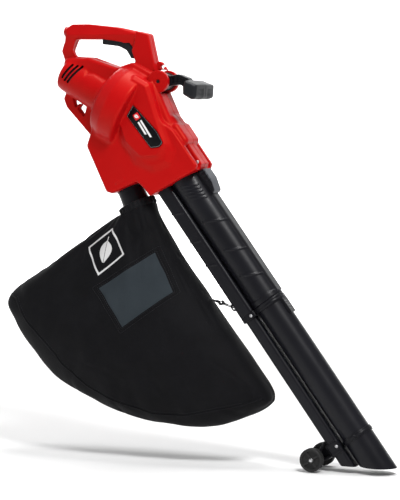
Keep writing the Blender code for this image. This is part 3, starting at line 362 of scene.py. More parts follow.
def moulded(name, grid, field, body, slot, material, *stands_for):
    """A piece whose surface is the zero level of a field."""
    mesh = net(grid, field, name)
    mesh.set_sharp_from_angle(angle=radians(SMOOTH_OVER))
    return placed(mesh, name, body, slot, material, *stands_for)


# ---------------------------------------------------------------- materials


def new_material(name, colour, roughness, metallic=0.0):
    """A material with one principled shader, and its nodes, links and shader."""
    material = bpy.data.materials.new(name)
    material.use_nodes = True
    shader = material.node_tree.nodes["Principled BSDF"]
    shader.inputs["Base Color"].default_value = (*colour, 1.0)
    shader.inputs["Roughness"].default_value = roughness
    shader.inputs["Metallic"].default_value = metallic
    return material, material.node_tree.nodes, material.node_tree.links, shader


def noise(nodes, links, scale, detail=3.0, stretch=None):
    """A noise texture in object space, stretched if asked."""
    found = nodes.new("ShaderNodeTexNoise")
    found.inputs["Scale"].default_value = scale
    found.inputs["Detail"].default_value = detail
    place = nodes.new("ShaderNodeTexCoord")
    if stretch:
        mapping = nodes.new("ShaderNodeMapping")
        mapping.inputs["Scale"].default_value = stretch
        links.new(place.outputs["Object"], mapping.inputs["Vector"])
        links.new(mapping.outputs["Vector"], found.inputs["Vector"])
    else:
        links.new(place.outputs["Object"], found.inputs["Vector"])
    return found


def ramp(nodes, links, source, low, high, first, last):
    """A colour ramp fed by the source, from the first colour at low to the last at high."""
    found = nodes.new("ShaderNodeValToRGB")
    found.color_ramp.elements[0].position = low
    found.color_ramp.elements[1].position = high
    found.color_ramp.elements[0].color = (*first, 1.0)
    found.color_ramp.elements[1].color = (*last, 1.0)
    links.new(source, found.inputs["Fac"])
    return found


def bump(nodes, links, shader, height, strength, distance, before=None):
    """Adds a height to the shader's normal, after the bump before it if there is one."""
    found = nodes.new("ShaderNodeBump")
    found.inputs["Strength"].default_value = strength
    found.inputs["Distance"].default_value = distance
    links.new(height, found.inputs["Height"])
    if before:
        links.new(before.outputs["Normal"], found.inputs["Normal"])
    links.new(found.outputs["Normal"], shader.inputs["Normal"])
    return found


def grey(value):
    """An even colour of this value."""
    return (value, value, value)


def plastic(name, colour, dark, roughness, grain=0.25, coat=0.0, wear=0.10, level=0.32, gleam=(1.0, 1.0, 1.0)):
    """Moulded plastic: a fine grain, a little unevenness of tone and gloss, and paler rubbed edges."""
    material, nodes, links, shader = new_material(name, colour, roughness)
    tone = noise(nodes, links, 9.0, 4.0)
    mixed = ramp(nodes, links, tone.outputs["Fac"], 0.3, 0.72, dark, colour)
    edges = nodes.new("ShaderNodeNewGeometry")
    rubbed = ramp(nodes, links, edges.outputs["Pointiness"], 0.53, 0.62, grey(0.0), grey(wear))
    tint = nodes.new("ShaderNodeMixRGB")
    tint.inputs["Color2"].default_value = (*[min(1.0, c * 1.6 + 0.02) for c in colour], 1.0)
    links.new(mixed.outputs["Color"], tint.inputs["Color1"])
    links.new(rubbed.outputs["Color"], tint.inputs["Fac"])
    links.new(tint.outputs["Color"], shader.inputs["Base Color"])
    gloss = noise(nodes, links, 22.0, 5.0)
    rough = ramp(nodes, links, gloss.outputs["Fac"], 0.25, 0.8, grey(roughness - 0.06), grey(roughness + 0.08))
    links.new(rough.outputs["Color"], shader.inputs["Roughness"])
    fine = noise(nodes, links, 900.0, 2.0)
    broad = noise(nodes, links, 40.0, 2.0)
    first = bump(nodes, links, shader, broad.outputs["Fac"], 0.05, 0.002)
    bump(nodes, links, shader, fine.outputs["Fac"], grain, 0.0002, first)
    shader.inputs["Specular IOR Level"].default_value = level
    shader.inputs["Specular Tint"].default_value = (*gleam, 1.0)
    shader.inputs["Coat Weight"].default_value = coat
    shader.inputs["Coat Roughness"].default_value = 0.12
    return material


def metal(name, colour, roughness, brushed=True):
    """Metal with uneven gloss, drawn out in one direction where it is brushed."""
    material, nodes, links, shader = new_material(name, colour, roughness, 1.0)
    streaks = noise(nodes, links, 120.0, 4.0, (1.0, 8.0, 1.0) if brushed else None)
    tone = ramp(nodes, links, streaks.outputs["Fac"], 0.2, 0.8, tuple(c * 0.72 for c in colour), colour)
    links.new(tone.outputs["Color"], shader.inputs["Base Color"])
    rough = ramp(nodes, links, streaks.outputs["Fac"], 0.2, 0.8, grey(roughness + 0.1), grey(roughness - 0.05))
    links.new(rough.outputs["Color"], shader.inputs["Roughness"])
    bump(nodes, links, shader, streaks.outputs["Fac"], 0.08, 0.0004)
    return material


RED = plastic("red_plastic", (0.47, 0.003, 0.005), (0.41, 0.002, 0.004), 0.40, 0.22, 0.0, 0.10, 0.30,
              gleam=(1.0, 0.32, 0.16))
BLACK = plastic("black_plastic", (0.007, 0.007, 0.009), (0.005, 0.005, 0.007), 0.34, 0.2, 0.03, 0.05, 0.14)
CHARCOAL = plastic("charcoal_plastic", (0.011, 0.012, 0.015), (0.008, 0.009, 0.011), 0.40, 0.3, 0.0, 0.05, 0.22)
SLATE = plastic("grey_plastic", (0.060, 0.064, 0.074), (0.050, 0.054, 0.063), 0.46, 0.3)
CREAM = plastic("white_plastic", (0.72, 0.72, 0.68), (0.66, 0.66, 0.62), 0.5)
GLOSS = plastic("label_black", (0.003, 0.003, 0.004), (0.002, 0.002, 0.003), 0.3, 0.05, 0.0, 0.0, 0.14)
STEEL = metal("zinc_steel", (0.62, 0.62, 0.63), 0.3)
COPPER = metal("copper_wire", (0.72, 0.32, 0.14), 0.35)
BRASS = metal("brass", (0.78, 0.60, 0.28), 0.28, False)
CARBON = plastic("carbon", (0.03, 0.03, 0.03), (0.02, 0.02, 0.02), 0.7, 0.5)
RUBBER = plastic("rubber", (0.02, 0.02, 0.02), (0.014, 0.014, 0.014), 0.72, 0.4)
TUBE = plastic("tube_black", (0.006, 0.006, 0.009), (0.004, 0.004, 0.006), 0.36, 0.12, 0.05, 0.04, 0.18)
DARK_STEEL = metal("blackened_steel", (0.05, 0.05, 0.055), 0.4)
SILVER = plastic("silver_print", (0.32, 0.32, 0.33), (0.28, 0.28, 0.29), 0.4, 0.1)
PRINT_RED = plastic("print_red", (0.70, 0.006, 0.012), (0.62, 0.005, 0.010), 0.35, 0.1)
PRINT_WHITE = plastic("print_white", (0.82, 0.82, 0.82), (0.76, 0.76, 0.76), 0.45, 0.1)


def woven(name, colour, dark, roughness, pitch, depth, sheen=0.3, ribbed=False):
    """Woven cloth: crossing threads in relief, slow creasing, and uneven fading."""
    material, nodes, links, shader = new_material(name, colour, roughness)
    tone = noise(nodes, links, 14.0, 5.0)
    mixed = ramp(nodes, links, tone.outputs["Fac"], 0.3, 0.72, dark, colour)
    links.new(mixed.outputs["Color"], shader.inputs["Base Color"])
    place = nodes.new("ShaderNodeTexCoord")
    heights = []
    for axis in ("X", "Z"):
        threads = nodes.new("ShaderNodeTexWave")
        threads.bands_direction = axis
        threads.inputs["Scale"].default_value = 0.314 / pitch
        threads.inputs["Distortion"].default_value = 0.6
        links.new(place.outputs["Object"], threads.inputs["Vector"])
        heights.append(threads)
    slow = noise(nodes, links, 24.0, 4.0, (1.0, 1.0, 0.45))
    creases = bump(nodes, links, shader, slow.outputs["Fac"], 0.35, 0.006)
    first = bump(nodes, links, shader, heights[0].outputs["Fac"], depth, 0.0004, creases)
    if not ribbed:
        bump(nodes, links, shader, heights[1].outputs["Fac"], depth, 0.0004, first)
    shader.inputs["Sheen Weight"].default_value = sheen
    shader.inputs["Sheen Roughness"].default_value = 0.4
    shader.inputs["Specular IOR Level"].default_value = 0.12
    return material


CLOTH = woven("black_cloth", (0.0042, 0.0042, 0.0055), (0.0022, 0.0022, 0.003), 0.72, 0.0016, 0.3, 0.012)
SLATE_CLOTH = woven("slate_cloth", (0.030, 0.038, 0.045), (0.024, 0.031, 0.037), 0.8, 0.0014, 0.35, 0.02)
TRIM = woven("trim_cloth", (0.0065, 0.0065, 0.008), (0.004, 0.004, 0.005), 0.7, 0.0012, 0.3, 0.03)
WEBBING = woven("webbing", (0.014, 0.014, 0.016), (0.009, 0.009, 0.011), 0.65, 0.0018, 0.5, 0.1, True)
THREAD = woven("thread", (0.022, 0.022, 0.025), (0.015, 0.015, 0.018), 0.6, 0.0006, 0.4, 0.05, True)
PRINT_BAG = plastic("bag_print", (0.62, 0.62, 0.62), (0.50, 0.50, 0.50), 0.7, 0.4)

FINISHES = {"red_plastic": RED, "black_plastic": BLACK, "grey_plastic": SLATE, "white_plastic": CREAM,
            "label": GLOSS, "steel": STEEL, "copper": COPPER, "brass": BRASS, "carbon": CARBON,
            "rubber": RUBBER, "bag_fabric": CLOTH, "webbing": WEBBING}
for part in frame["record"]["subparts"]:
    node = NODES[part["node"]]
    node.data.materials.clear()
    node.data.materials.append(FINISHES[part["material_slot"]])
    node.data.shade_smooth()
    node.data.set_sharp_from_angle(angle=radians(CAD_SMOOTH_OVER))


# ---------------------------------------------------------------- outlines shared with the CAD

HANDLE = [(-80, -75, 0), (-88, -42, 8), (-79, -20, 8), (-76, 10, 14), (-60, 19, 10), (-20, 19, 30),
          (55, 11, 30), (131, -5, 12), (150, -88, 0), (100, -110, 0), (0, -110, 0)]
OPENING = [(-51, -15.5, 9), (14, -16.5, 10), (66, -24, 22), (84, -40, 14), (98, -66, 6), (85, -70, 14),
           (57, -80.5, 6), (-2, -58, 22), (-53, -54, 7), (-61, -41, 10)]
SPINE = [(-74, -58, 12), (-12, -57, 30), (57, -80, 20), (96, -68, 18), (128, -84, 16), (150, -95, 0),
         (90, -160, 0), (-40, -120, 0), (-78, -90, 8)]
BLOCK = [(8, -214, 8), (-7, -257, 14), (42, -360, 8), (56, -364, 3), (117, -336, 4), (133, -349, 3),
         (149, -368, 4), (259, -308, 4), (262, -297, 6), (207, -221, 10), (165, -190, 0), (60, -170, 0)]
BODY = [(112, -96, 14), (150, -117, 12), (197, -254, 12), (176, -284, 22), (128, -286, 26), (88, -250, 14),
        (66, -190, 0), (80, -120, 0)]
LOOP = [(-66, -112, 8), (-84, -150, 12), (-76, -170, 10), (-18, -232, 4), (10, -240, 0), (30, -200, 0),
        (-20, -130, 0)]
EYE = [(142, -88, 0), (150, -66, 4), (160, -68, 6), (178, -94, 6), (160, -120, 0)]
HOOD = [(148, -104, 0), (160, -122, 14), (199, -206, 12), (212, -240, 10), (150, -262, 0), (110, -160, 0)]
LABEL = [(114.5, -164, 1.5), (99.5, -188, 1.5), (158, -260, 7), (178, -257, 6), (187, -248, 4), (172, -222, 4)]
TRIGGER = [(14, -17, 1), (14, -27, 2), (55, -32, 20), (74, -41, 12), (85, -59, 2), (91, -60, 2), (99, -54, 3),
           (99, -44, 3), (91, -38, 8), (80, -22, 10), (60, -16, 8), (20, -13, 3)]
FRONT_LEG = [(101, 1.8, 1), (131, -5, 7), (150, -88, 0), (112, -100, 0), (99, -66, 5), (90, -42, 10),
             (98, -20, 4)]
BULGE = [(100, -200, 0), (178, -210, 20), (214, -262, 16), (206, -300, 20), (160, -318, 30), (110, -300, 24),
         (80, -240, 20)]
STEP_UPPER = [(-27, -71), (17.6, -84.5), (51, -98), (90, -112), (110, -40), (-30, -30)]
STEP_LOWER = [(-18, -103), (-8, -98), (4, -98), (46, -125), (90, -150), (110, -40), (-20, -30)]
VENTS = [((-50.5, -74.5), (-72, -101.5)), ((-38.5, -76.5), (-65.5, -108)), ((-26.7, -77.5), (-58.7, -112.5))]
LOOP_WEB = [(-57, -147, 1), (-27, -165, 1), (-33, -186, 2), (-44, -172, 2), (-38, -164, 2), (-46, -161, 2),
            (-53, -166, 2)]
LOOP_POCKET = [(-62, -141, 3), (-22, -160, 3), (-31, -193, 4), (-49, -172, 4), (-43, -167, 3), (-47, -166, 3),
               (-54, -171, 4)]
HALF_GAP = 0.15
WALL = 3.0


# ---------------------------------------------------------------- housing


def ramp_field(field, width):
    """1 well inside a flat outline and 0 outside it, over this width."""
    return np.clip(0.5 - field / width, 0, 1)


def stroke(grid, start, end, radius):
    """A straight slot through the casing, seen from the side."""
    u, _, v = grid.into(WORLD)
    ex, ez = end[0] - start[0], end[1] - start[1]
    t = np.clip(((u - start[0]) * ex + (v - start[1]) * ez) / (ex * ex + ez * ez), 0, 1)
    return np.sqrt((u - start[0] - t * ex) ** 2 + (v - start[1] - t * ez) ** 2) - radius


def panelled_barrel(grid):
    """The motor casing, its upper sides stepped in along two bevelled lines."""
    profile = [(0, -20, 0), (49.5, -20, 0), (41, -160, 0), (39, -169, 2.5), (32, -173, 2), (0, -173, 0)]
    barrel = lathe(grid, profile, MOTOR)
    u, _, v = grid.into(WORLD)
    first = ramp_field(outline(u, v, np.array(STEP_UPPER, float)), 1.6)
    second = ramp_field(outline(u, v, np.array(STEP_LOWER, float)) + 3.5, 7.0)
    return barrel + 2.2 * first + 3.2 * second


def chamfered_slab(grid, corners, half, chamfer, edge):
    """A slab whose long edges are cut off at 45 degrees."""
    u, across, v = grid.into(WORLD)
    flat = outline(u, v, corner_points(corners))
    sides = np.abs(across) - half
    return carve(rounded_pair(flat, sides, edge), -(flat + sides + chamfer) / 2 ** 0.5, 1.0)


def handle_field(grid):
    """The grip bar, with a ridge along each side, and the sharper front leg."""
    _, across, v = grid.into(WORLD)
    bar = slab(grid, HANDLE, 17.0, edge=10.0, holes=[OPENING])
    ridge = np.abs(across) + 0.26 * np.abs(v + 5.0) - 17.0
    bar = np.where(grid.x < 99.0, np.maximum(bar, ridge * np.clip((112.0 - grid.x) / 12.0, 0, 1)), bar)
    leg = slab(grid, FRONT_LEG, 17.0, edge=3.0)
    return blend(bar, leg, 1.0)


def core_field(grid):
    """The casing without its small fittings: what is hollowed."""
    fan = lathe(grid, [(0, 25, 0), (95, 25, 9), (95, -16, 16), (82, -46, 20), (42, -58, 0), (0, -58, 0)], MOTOR)
    spine = slab(grid, SPINE, 27.0, edge=8.0)
    lower = slab(grid, BLOCK, 52.0, edge=5.0)
    u, across, v = grid.into(TUBES)
    for side in (-1, 1):
        groove = np.maximum(np.maximum(340 - v, u + 29), np.abs(side * across - 30.5) - 7.5)
        lower = carve(lower, groove, 1.5)
    core = blend(fan, panelled_barrel(grid), 12.0)
    core = blend(core, spine, 5.0)
    core = blend(core, chamfered_slab(grid, BODY, 62.0, 9.0, 2.0), 2.5)
    core = blend(core, slab(grid, BULGE, 57.0, edge=22.0), 10.0)
    core = blend(core, lower, 8.0)
    core = blend(core, slab(grid, HOOD, 40.0, edge=12.0), 4.0)
    return blend(core, handle_field(grid), 4.0)


def fittings(grid, core):
    """The casing with its latch, front strip, cord loop, strap eye, inlet shroud and small raised lips."""
    latch = block(grid, (-49, -39, 284), (-20, 39, 339), TUBES, 10.0)
    brow = block(grid, (-47, -30, 262), (-20, 30, 292), TUBES, 12.0)
    strip = block(grid, (-40, -22.7, 320), (-20, 22.7, 394), TUBES, 2.0)
    loop = slab(grid, LOOP, 9.0, edge=3.0)
    loop = np.maximum(loop, -slab(grid, LOOP_WEB, 30.0))
    loop = carve(loop, np.maximum(slab(grid, LOOP_POCKET, 30.0), 4.0 - np.abs(grid.y)), 1.0)
    eye = slab(grid, EYE, 6.0, edge=2.0)
    shroud = drum(grid, 11.5, -22.0, 9.0, INLET, 2.0)
    shell = blend(blend(core, latch, 3.0), brow, 7.0)
    shell = blend(shell, strip, 1.5)
    shell = blend(blend(shell, loop, 3.0), eye, 2.0)
    shell = blend(shell, shroud, 4.0)
    seam = np.maximum(np.abs(grid.x - 99.5) - 0.9, np.maximum(-12.0 - grid.z, -core - 1.0))
    shell = carve(shell, seam, 0.5)
    lip = np.maximum(stroke(grid, (68, -341), (86, -329.5), 2.0), np.abs(np.abs(grid.y) - 52.0) - 1.2)
    return blend(shell, lip, 1.0)


def openings_in(grid, shell):
    """The slots, sockets and holes cut through the casing's walls."""
    for start, end in VENTS:
        slot = stroke(grid, start, end, 2.7)
        shell = carve(shell, np.maximum(slot, 12.0 - np.abs(grid.y)), 0.8)
    u, across, v = grid.into(MOTOR)
    for index in range(-2, 3):
        slot = np.maximum(np.abs(u - 9.0 * index) - 2.0, np.abs(across) - 25.0 + 3.0 * abs(index))
        shell = carve(shell, np.maximum(slot, v + 150.0), 0.8)
    bores = [drum(grid, 36.8, 346, 420, SUCTION), duct_field(grid, 31.3, -85.3, -48.7, 306, 420, 9),
             duct_field(grid, 16.5, -53, -39, 346, 420, 2), drum(grid, 30.3, -14, 60, DUCT),
             drum(grid, 9.5, -10, 30, INLET), bar_y(grid, 4.3, -20, 20, (161.5, 0, -78.8)),
             slab(grid, TRIGGER, 9.0) - 1.5]
    for bore in bores:
        shell = carve(shell, bore, 0.8)
    recess = slab(grid, LABEL, 3.0, y=-62.0, steps=4) - 0.8
    return carve(shell, np.maximum(recess, np.abs(grid.y + 62.0) - 0.6), 0.3)


def casing_field(grid):
    """The whole casing: hollowed, with the lugs of the front handle and every opening."""
    core = core_field(grid)
    space = core + WALL
    shell = fittings(grid, core)
    away = bar_y(grid, 26.5, -23.0, 23.0, PIVOT)
    space = np.maximum(space, 2.5 - away)
    shell = np.maximum(shell, -space)
    shell = carve(shell, away, 1.0)
    shell = blend(shell, bar_y(grid, 25.0, -35.0, -23.0, PIVOT, 1.4), 0.8)
    shell = carve(shell, bar_y(grid, 3.8, -90, 90, PIVOT), 0.8)
    shell = carve(shell, bar_y(grid, 5.4, -36.0, -33.2, PIVOT), 0.4)
    return openings_in(grid, shell)


def housing():
    """The two halves. The left one mirrors the right, and has the hole for the lever's spindle."""
    grid = lattice((-102, -99, -372), (268, 3, 24), 1.5)
    right = rounded_pair(casing_field(grid), grid.y + HALF_GAP, 0.5)
    moulded("casing_right", grid, right, "machine", "red_plastic", RED, "housing_right")
    hole = bar_y(grid, 4.3, -80, -20, FLAP_AXIS)
    left = moulded("casing_left", grid, carve(right, hole), "machine", "red_plastic", RED, "housing_left")
    mirrored(left)


# ---------------------------------------------------------------- meshes made directly


def mesh_of(name, points, faces):
    """A mesh from points in millimetres."""
    mesh = bpy.data.meshes.new(name)
    mesh.from_pydata([(x * MM, y * MM, z * MM) for x, y, z in points], [], faces)
    mesh.validate()
    form = bmesh.new()
    form.from_mesh(mesh)
    bmesh.ops.recalc_face_normals(form, faces=form.faces)
    form.to_mesh(mesh)
    form.free()
    mesh.shade_smooth()
    mesh.set_sharp_from_angle(angle=radians(SMOOTH_OVER))
    return mesh


def grid_faces(rows, columns, closed=False, first=0):
    """Quads between rows of points, the last column joined to the first if closed."""
    last = columns if closed else columns - 1
    return [(first + i * columns + j, first + i * columns + (j + 1) % columns,
             first + (i + 1) * columns + (j + 1) % columns, first + (i + 1) * columns + j)
            for i in range(rows - 1) for j in range(last)]


def spun(name, profile, place, sides=96, ripple=0.0, waves=0):
    """A turned mesh from a closed (radius, height) outline, its radius rippled if asked."""
    points, faces = [], []
    for i in range(sides):
        turn = 2 * pi * i / sides
        grow = 1.0 + ripple * sin(waves * turn)
        for radius, height in profile:
            points.append(place @ Vector((radius * grow * cos(turn), radius * grow * sin(turn), height)))
    count = len(profile)
    for i in range(sides):
        for j in range(count):
            a, b = i * count, (i + 1) % sides * count
            faces.append((a + j, b + j, b + (j + 1) % count, a + (j + 1) % count))
    return mesh_of(name, points, faces)


def rounded_box_outline(half_u, half_v, radius, steps=8):
    """Points round a rounded rectangle, evenly turned."""
    found = []
    for index, (su, sv) in enumerate(((1, 1), (-1, 1), (-1, -1), (1, -1))):
        for step in range(steps + 1):
            turn = pi / 2 * (index + step / steps)
            centre = su * (half_u - radius), sv * (half_v - radius)
            found.append((centre[0] + radius * cos(turn), centre[1] + radius * sin(turn)))
    return found


def cut_pipe(name, outer, inner, place, start, ground):
    """A long pipe between two outlines, its far end cut off level with the ground, its outer rim broken."""
    points, faces = [], []
    along = place.to_3x3() @ Vector((0.0, 0.0, 1.0))
    count = len(outer)
    path = [(outer, 1.0, 0.0, 0.0), (outer, 1.0, 0.0, 0.97), (outer, 1.0, -0.8, 1.0), (outer, 0.98, 0.0, 1.0),
            (inner, 1.0, 0.0, 1.0), (inner, 1.0, 0.0, 0.97), (inner, 1.0, 0.0, 0.0)]
    for shape, scale, back, share in path:
        for u, v in shape:
            far = (ground - (place @ Vector((u, v, 0.0))).z) / along.z
            points.append(place @ Vector((u * scale, v * scale, start + (far - start) * share + back)))
    for i in range(len(path)):
        for j in range(count):
            a, b = i * count, (i + 1) % len(path) * count
            faces.append((a + j, a + (j + 1) % count, b + (j + 1) % count, b + j))
    mesh = mesh_of(name, points, faces)
    for vertex in mesh.vertices:
        vertex.co.z = max(vertex.co.z, ground * MM)
    return mesh


def prism(name, shape, y, depth, bevel):
    """A flat outline in X and Z given a thickness along Y, its edges softened."""
    form = bmesh.new()
    face = form.faces.new([form.verts.new((x, y, z)) for x, z in shape])
    moved = bmesh.ops.extrude_face_region(form, geom=[face])
    far = [item for item in moved["geom"] if isinstance(item, bmesh.types.BMVert)]
    bmesh.ops.translate(form, vec=(0, depth, 0), verts=far)
    bmesh.ops.recalc_face_normals(form, faces=form.faces)
    if bevel:
        rim = [edge for edge in form.edges if abs(edge.verts[0].co.y - edge.verts[1].co.y) < 1e-6]
        bmesh.ops.bevel(form, geom=rim, offset=bevel, segments=2, affect="EDGES", profile=0.5)
    bmesh.ops.transform(form, matrix=Matrix.Scale(MM, 4), verts=form.verts)
    mesh = bpy.data.meshes.new(name)
    form.to_mesh(mesh)
    form.free()
    mesh.shade_smooth()
    mesh.set_sharp_from_angle(angle=radians(SMOOTH_OVER))
    return mesh


def merged(name, meshes):
    """One mesh from several."""
    form = bmesh.new()
    for mesh in meshes:
        form.from_mesh(mesh)
        bpy.data.meshes.remove(mesh)
    whole = bpy.data.meshes.new(name)
    form.to_mesh(whole)
    form.free()
    return whole


def wire(name, points, radius, sides=8, closed=False):
    """A round bar along these points."""
    path = [Vector(p) for p in points]
    count = len(path)
    rows, side = [], None
    for index, here in enumerate(path):
        after = path[(index + 1) % count] if closed else path[min(index + 1, count - 1)]
        before = path[index - 1] if closed or index else here
        along = (after - before).normalized()
        side = along.cross(Vector((0, 1, 0))) if side is None else side - along * side.dot(along)
        side = (side if side.length > 1e-4 else along.orthogonal()).normalized()
        other = along.cross(side)
        turns = [2 * pi * k / sides for k in range(sides)]
        rows += [here + (side * cos(turn) + other * sin(turn)) * radius for turn in turns]
    faces = grid_faces(count, sides, True)
    if closed:
        faces += [((count - 1) * sides + j, (count - 1) * sides + (j + 1) % sides, (j + 1) % sides, j)
                  for j in range(sides)]
    else:
        faces += [tuple(range(sides)), tuple(range((count - 1) * sides, count * sides))]
    return mesh_of(name, rows, faces)


# ---------------------------------------------------------------- labels


def ring_faces(count):
    """Quads between two closed lines with this many points each."""
    return [(i, (i + 1) % count, count + (i + 1) % count, count + i) for i in range(count)]


def leaf_rows(base, tip, width, rows=14, columns=5):
    """The two halves of a leaf either side of its rib, as rows of points in X and Z."""
    base, tip = Vector(base), Vector(tip)
    along = tip - base
    across = Vector((-along.y, along.x)).normalized()
    halves = []
    for side in (-1, 1):
        half = []
        for i in range(rows):
            t = i / (rows - 1)
            reach = width * sin(pi * t ** 0.8) + 0.02
            half.append([base + along * t + across * side * (0.04 * width + reach * k / (columns - 1))
                         for k in range(columns)])
        halves.append(half)
    return halves


def labels():
    """A black plate on each side, with a silver border, a red badge with a plain leaf, and two plain bars."""
    shape = corner_points(LABEL, 4)
    inward = shape.mean(0) - shape
    inward = inward / np.linalg.norm(inward, axis=1)[:, None]
    axis = Vector((0.555, -0.832))
    up = Vector((axis.y, -axis.x)) * -1.0
    badge = Vector((124.0, -190.0))
    for name, side in (("right", -1.0), ("left", 1.0)):
        plate = prism("label_" + name, shape, side * 62.4, side * 1.3, bevel=0.25)
        placed(plate, "label_" + name, "machine", "label", GLOSS, "label_plate_" + name)
        points = [(x, side * 63.78, z) for inset in (1.6, 2.1) for x, z in shape + inward * inset]
        border = mesh_of("border", points, ring_faces(len(shape)))
        placed(border, "label_border_" + name, "machine", "label", SILVER)
        square = [badge + axis * a + up * b for a, b in ((-8, -7), (7, -7), (7, 7), (-8, 7))]
        rounded = corner_points([(p.x, p.y, 2.0) for p in square], 4)
        red = prism("badge", rounded, side * 63.7, side * 0.3, bevel=0.1)
        placed(red, "label_badge_" + name, "machine", "label", PRINT_RED)
        white = []
        for half in leaf_rows(badge - axis * 5.5 - up * 3.5, badge + axis * 4.5 + up * 3.5, 3.6):
            points = [(p.x, side * 64.05, p.y) for row in half for p in row]
            white.append(mesh_of("leaf", points, grid_faces(len(half), len(half[0]))))
        for index, (start, length) in enumerate(((12, 46), (12, 34))):
            line = badge + axis * start + up * (5.6 - 7.0 * index)
            bar = [line, line + axis * length, line + axis * (length - 2.0) - up * 4.4, line - up * 4.4]
            white.append(prism("bar", [(p.x, p.y) for p in bar], side * 63.75, side * 0.15, bevel=0.0))
        placed(merged("label_print", white), "label_print_" + name, "machine", "label", PRINT_WHITE)


# ---------------------------------------------------------------- handle and controls


def trigger():
    """The trigger, with finger grooves along its underside."""
    grid = lattice((8, -10, -66), (106, 10, -6), 0.9)
    body = slab(grid, TRIGGER, 8.0, edge=2.6)
    for index in range(4):
        groove = np.maximum(np.abs(grid.x - 26.0 - 8.0 * index) - 1.0, grid.z + 26.6 + 0.11 * (grid.x - 14))
        body = carve(body, groove, 0.8)
    moulded("trigger_paddle", grid, body, "trigger", "grey_plastic", CHARCOAL, "trigger")


FRONT_ARM = [(147, -98, 8), (160, -92, 12), (183, -99, 6), (203, -95, 6), (225, -103, 4), (236, -116, 3),
             (226, -131, 3), (208, -119, 6), (184, -121, 6), (168, -128, 8), (148, -126, 8)]
T_GRIP = [(236, -108, 3), (265, -119, 6), (263, -149, 8), (250, -153, 8), (229, -141, 5), (229, -122, 3)]


def front_handle():
    """The arm, with its recessed sides, and the two grip shells with a crowned back and ribbed underside."""
    grid = lattice((138, -20, -136), (242, 20, -86), 1.1)
    arm = slab(grid, FRONT_ARM, 14.0, edge=3.0)
    arm = blend(arm, bar_y(grid, 19.0, -18.5, 18.5, PIVOT, 1.2), 2.0)
    recess = np.maximum(slab(grid, FRONT_ARM, 30.0) + 5.0, 11.5 - np.abs(grid.y))
    arm = carve(arm, np.maximum(recess, 186.0 - grid.x), 0.8)
    for index in range(3):
        rib = np.maximum(np.abs(grid.x - 194.0 - 9.0 * index) - 0.9, np.abs(np.abs(grid.y) - 12.0) - 1.6)
        arm = np.minimum(arm, np.maximum(rib, slab(grid, FRONT_ARM, 30.0) + 4.0))
    arm = carve(arm, bar_y(grid, 3.35, -40, 40, PIVOT), 0.6)
    arm = np.maximum(arm, -(slab(grid, T_GRIP, 60.0) - 0.3))
    moulded("assist_arm", grid, arm, "front_handle", "black_plastic", BLACK, "front_handle_arm")
    grid = lattice((222, -61, -160), (272, 0.9, -101), 1.1)
    u, across, v = grid.into(WORLD)
    flat = outline(u, v, corner_points(T_GRIP))
    crown = 1.3 * (np.abs(across) / 58.0) ** 2
    grip = rounded_pair(flat + crown, np.abs(across) - 58.0, 9.0)
    for index in range(7):
        rib = np.maximum(np.abs(across + 14.0 + 5.5 * index) - 0.9, np.maximum(-flat - 1.0, v + 128.0))
        grip = carve(grip, rib, 0.8)
    seam = rounded_pair(grip, across + HALF_GAP, 0.4)
    moulded("assist_grip_right", grid, seam, "front_handle", "grey_plastic", CHARCOAL, "front_grip_right")
    other = moulded("assist_grip_left", grid, seam, "front_handle", "grey_plastic", CHARCOAL, "front_grip_left")
    mirrored(other)
    bolt = merged("bolt", [spun("shank", [(0.01, -31), (3.0, -31), (3.0, 31), (0.01, 31)], ACROSS, 32)] + [
        spun("head", [(0.01, side * 32.0), (1.7, side * 32.0), (1.7, side * 33.2), (3.2, side * 33.2),
                      (3.5, side * 32.8), (3.5, side * 30.0),
                      (0.01, side * 30.0)], ACROSS, 24) for side in (-1, 1)])
    bolt.shade_smooth()
    placed(bolt, "pivot_screw", "machine", "steel", DARK_STEEL, "pivot_bolt")


# ---------------------------------------------------------------- tubes


def rib_field(grid, s_low, n_low, slope, length, reach):
    """A short slanting rib: a stroke from (s, n), climbing by the slope over this length."""
    u, _, v = grid.into(TUBES)
    n = -u
    t = np.clip((n - n_low) / length, 0, 1)
    away = np.sqrt((v - s_low - slope * length * t) ** 2 / (1 + slope * slope) + (n - n_low - length * t) ** 2)
    return away - reach


def upper_tube():
    """The round tube and flat duct in one moulding, with slanting ribs on its sides and a spine on top."""
    grid = lattice((-26, -41, 343), (89, 41, 731), (1.1, 1.1, 1.5), TUBES)
    pipe = drum(grid, 36.5, 346.3, BAND_S, SUCTION, 0.6)
    shell = pipe
    for s, n in ((503, -29), (583, -24), (650, -26)):
        shell = blend(shell, np.maximum(rib_field(grid, s, n, 0.52, 48.0, 1.7), pipe - 1.2), 1.0)
    for index in range(5):
        rib = np.maximum(rib_field(grid, 408 + 8.5 * index, -28.0, 0.5, 36.0, 1.1), pipe - 0.7)
        shell = blend(shell, rib, 1.0)
    flat = duct_field(grid, 31.0, -85, -49, 346.3, BAND_S, 9)
    duct = flat
    for s in (445, 521, 585):
        rib = np.maximum(rib_field(grid, s, -86.0, 0.45, 24.0, 1.7), flat - 1.2)
        duct = blend(duct, rib, 1.0)
    web = duct_field(grid, 16.0, -53, -39, 346.3, BAND_S, 2)
    spine = duct_field(grid, 16.0, 6, 21.8, 403, 722, 3)
    shell = blend(blend(shell, duct, 1.5), web, 3.0)
    shell = blend(shell, spine, 0.8)
    shell = blend(shell, drum(grid, 38.1, 716, BAND_S, SUCTION, 1.0), 0.8)
    shell = carve(shell, drum(grid, 34.3, 300, 760, SUCTION), 0.6)
    shell = carve(shell, duct_field(grid, 28.8, -82.8, -52.0, 300, 760, 7), 0.6)
    moulded("upper_tubes", grid, shell, "machine", "black_plastic", TUBE, "upper_tube")


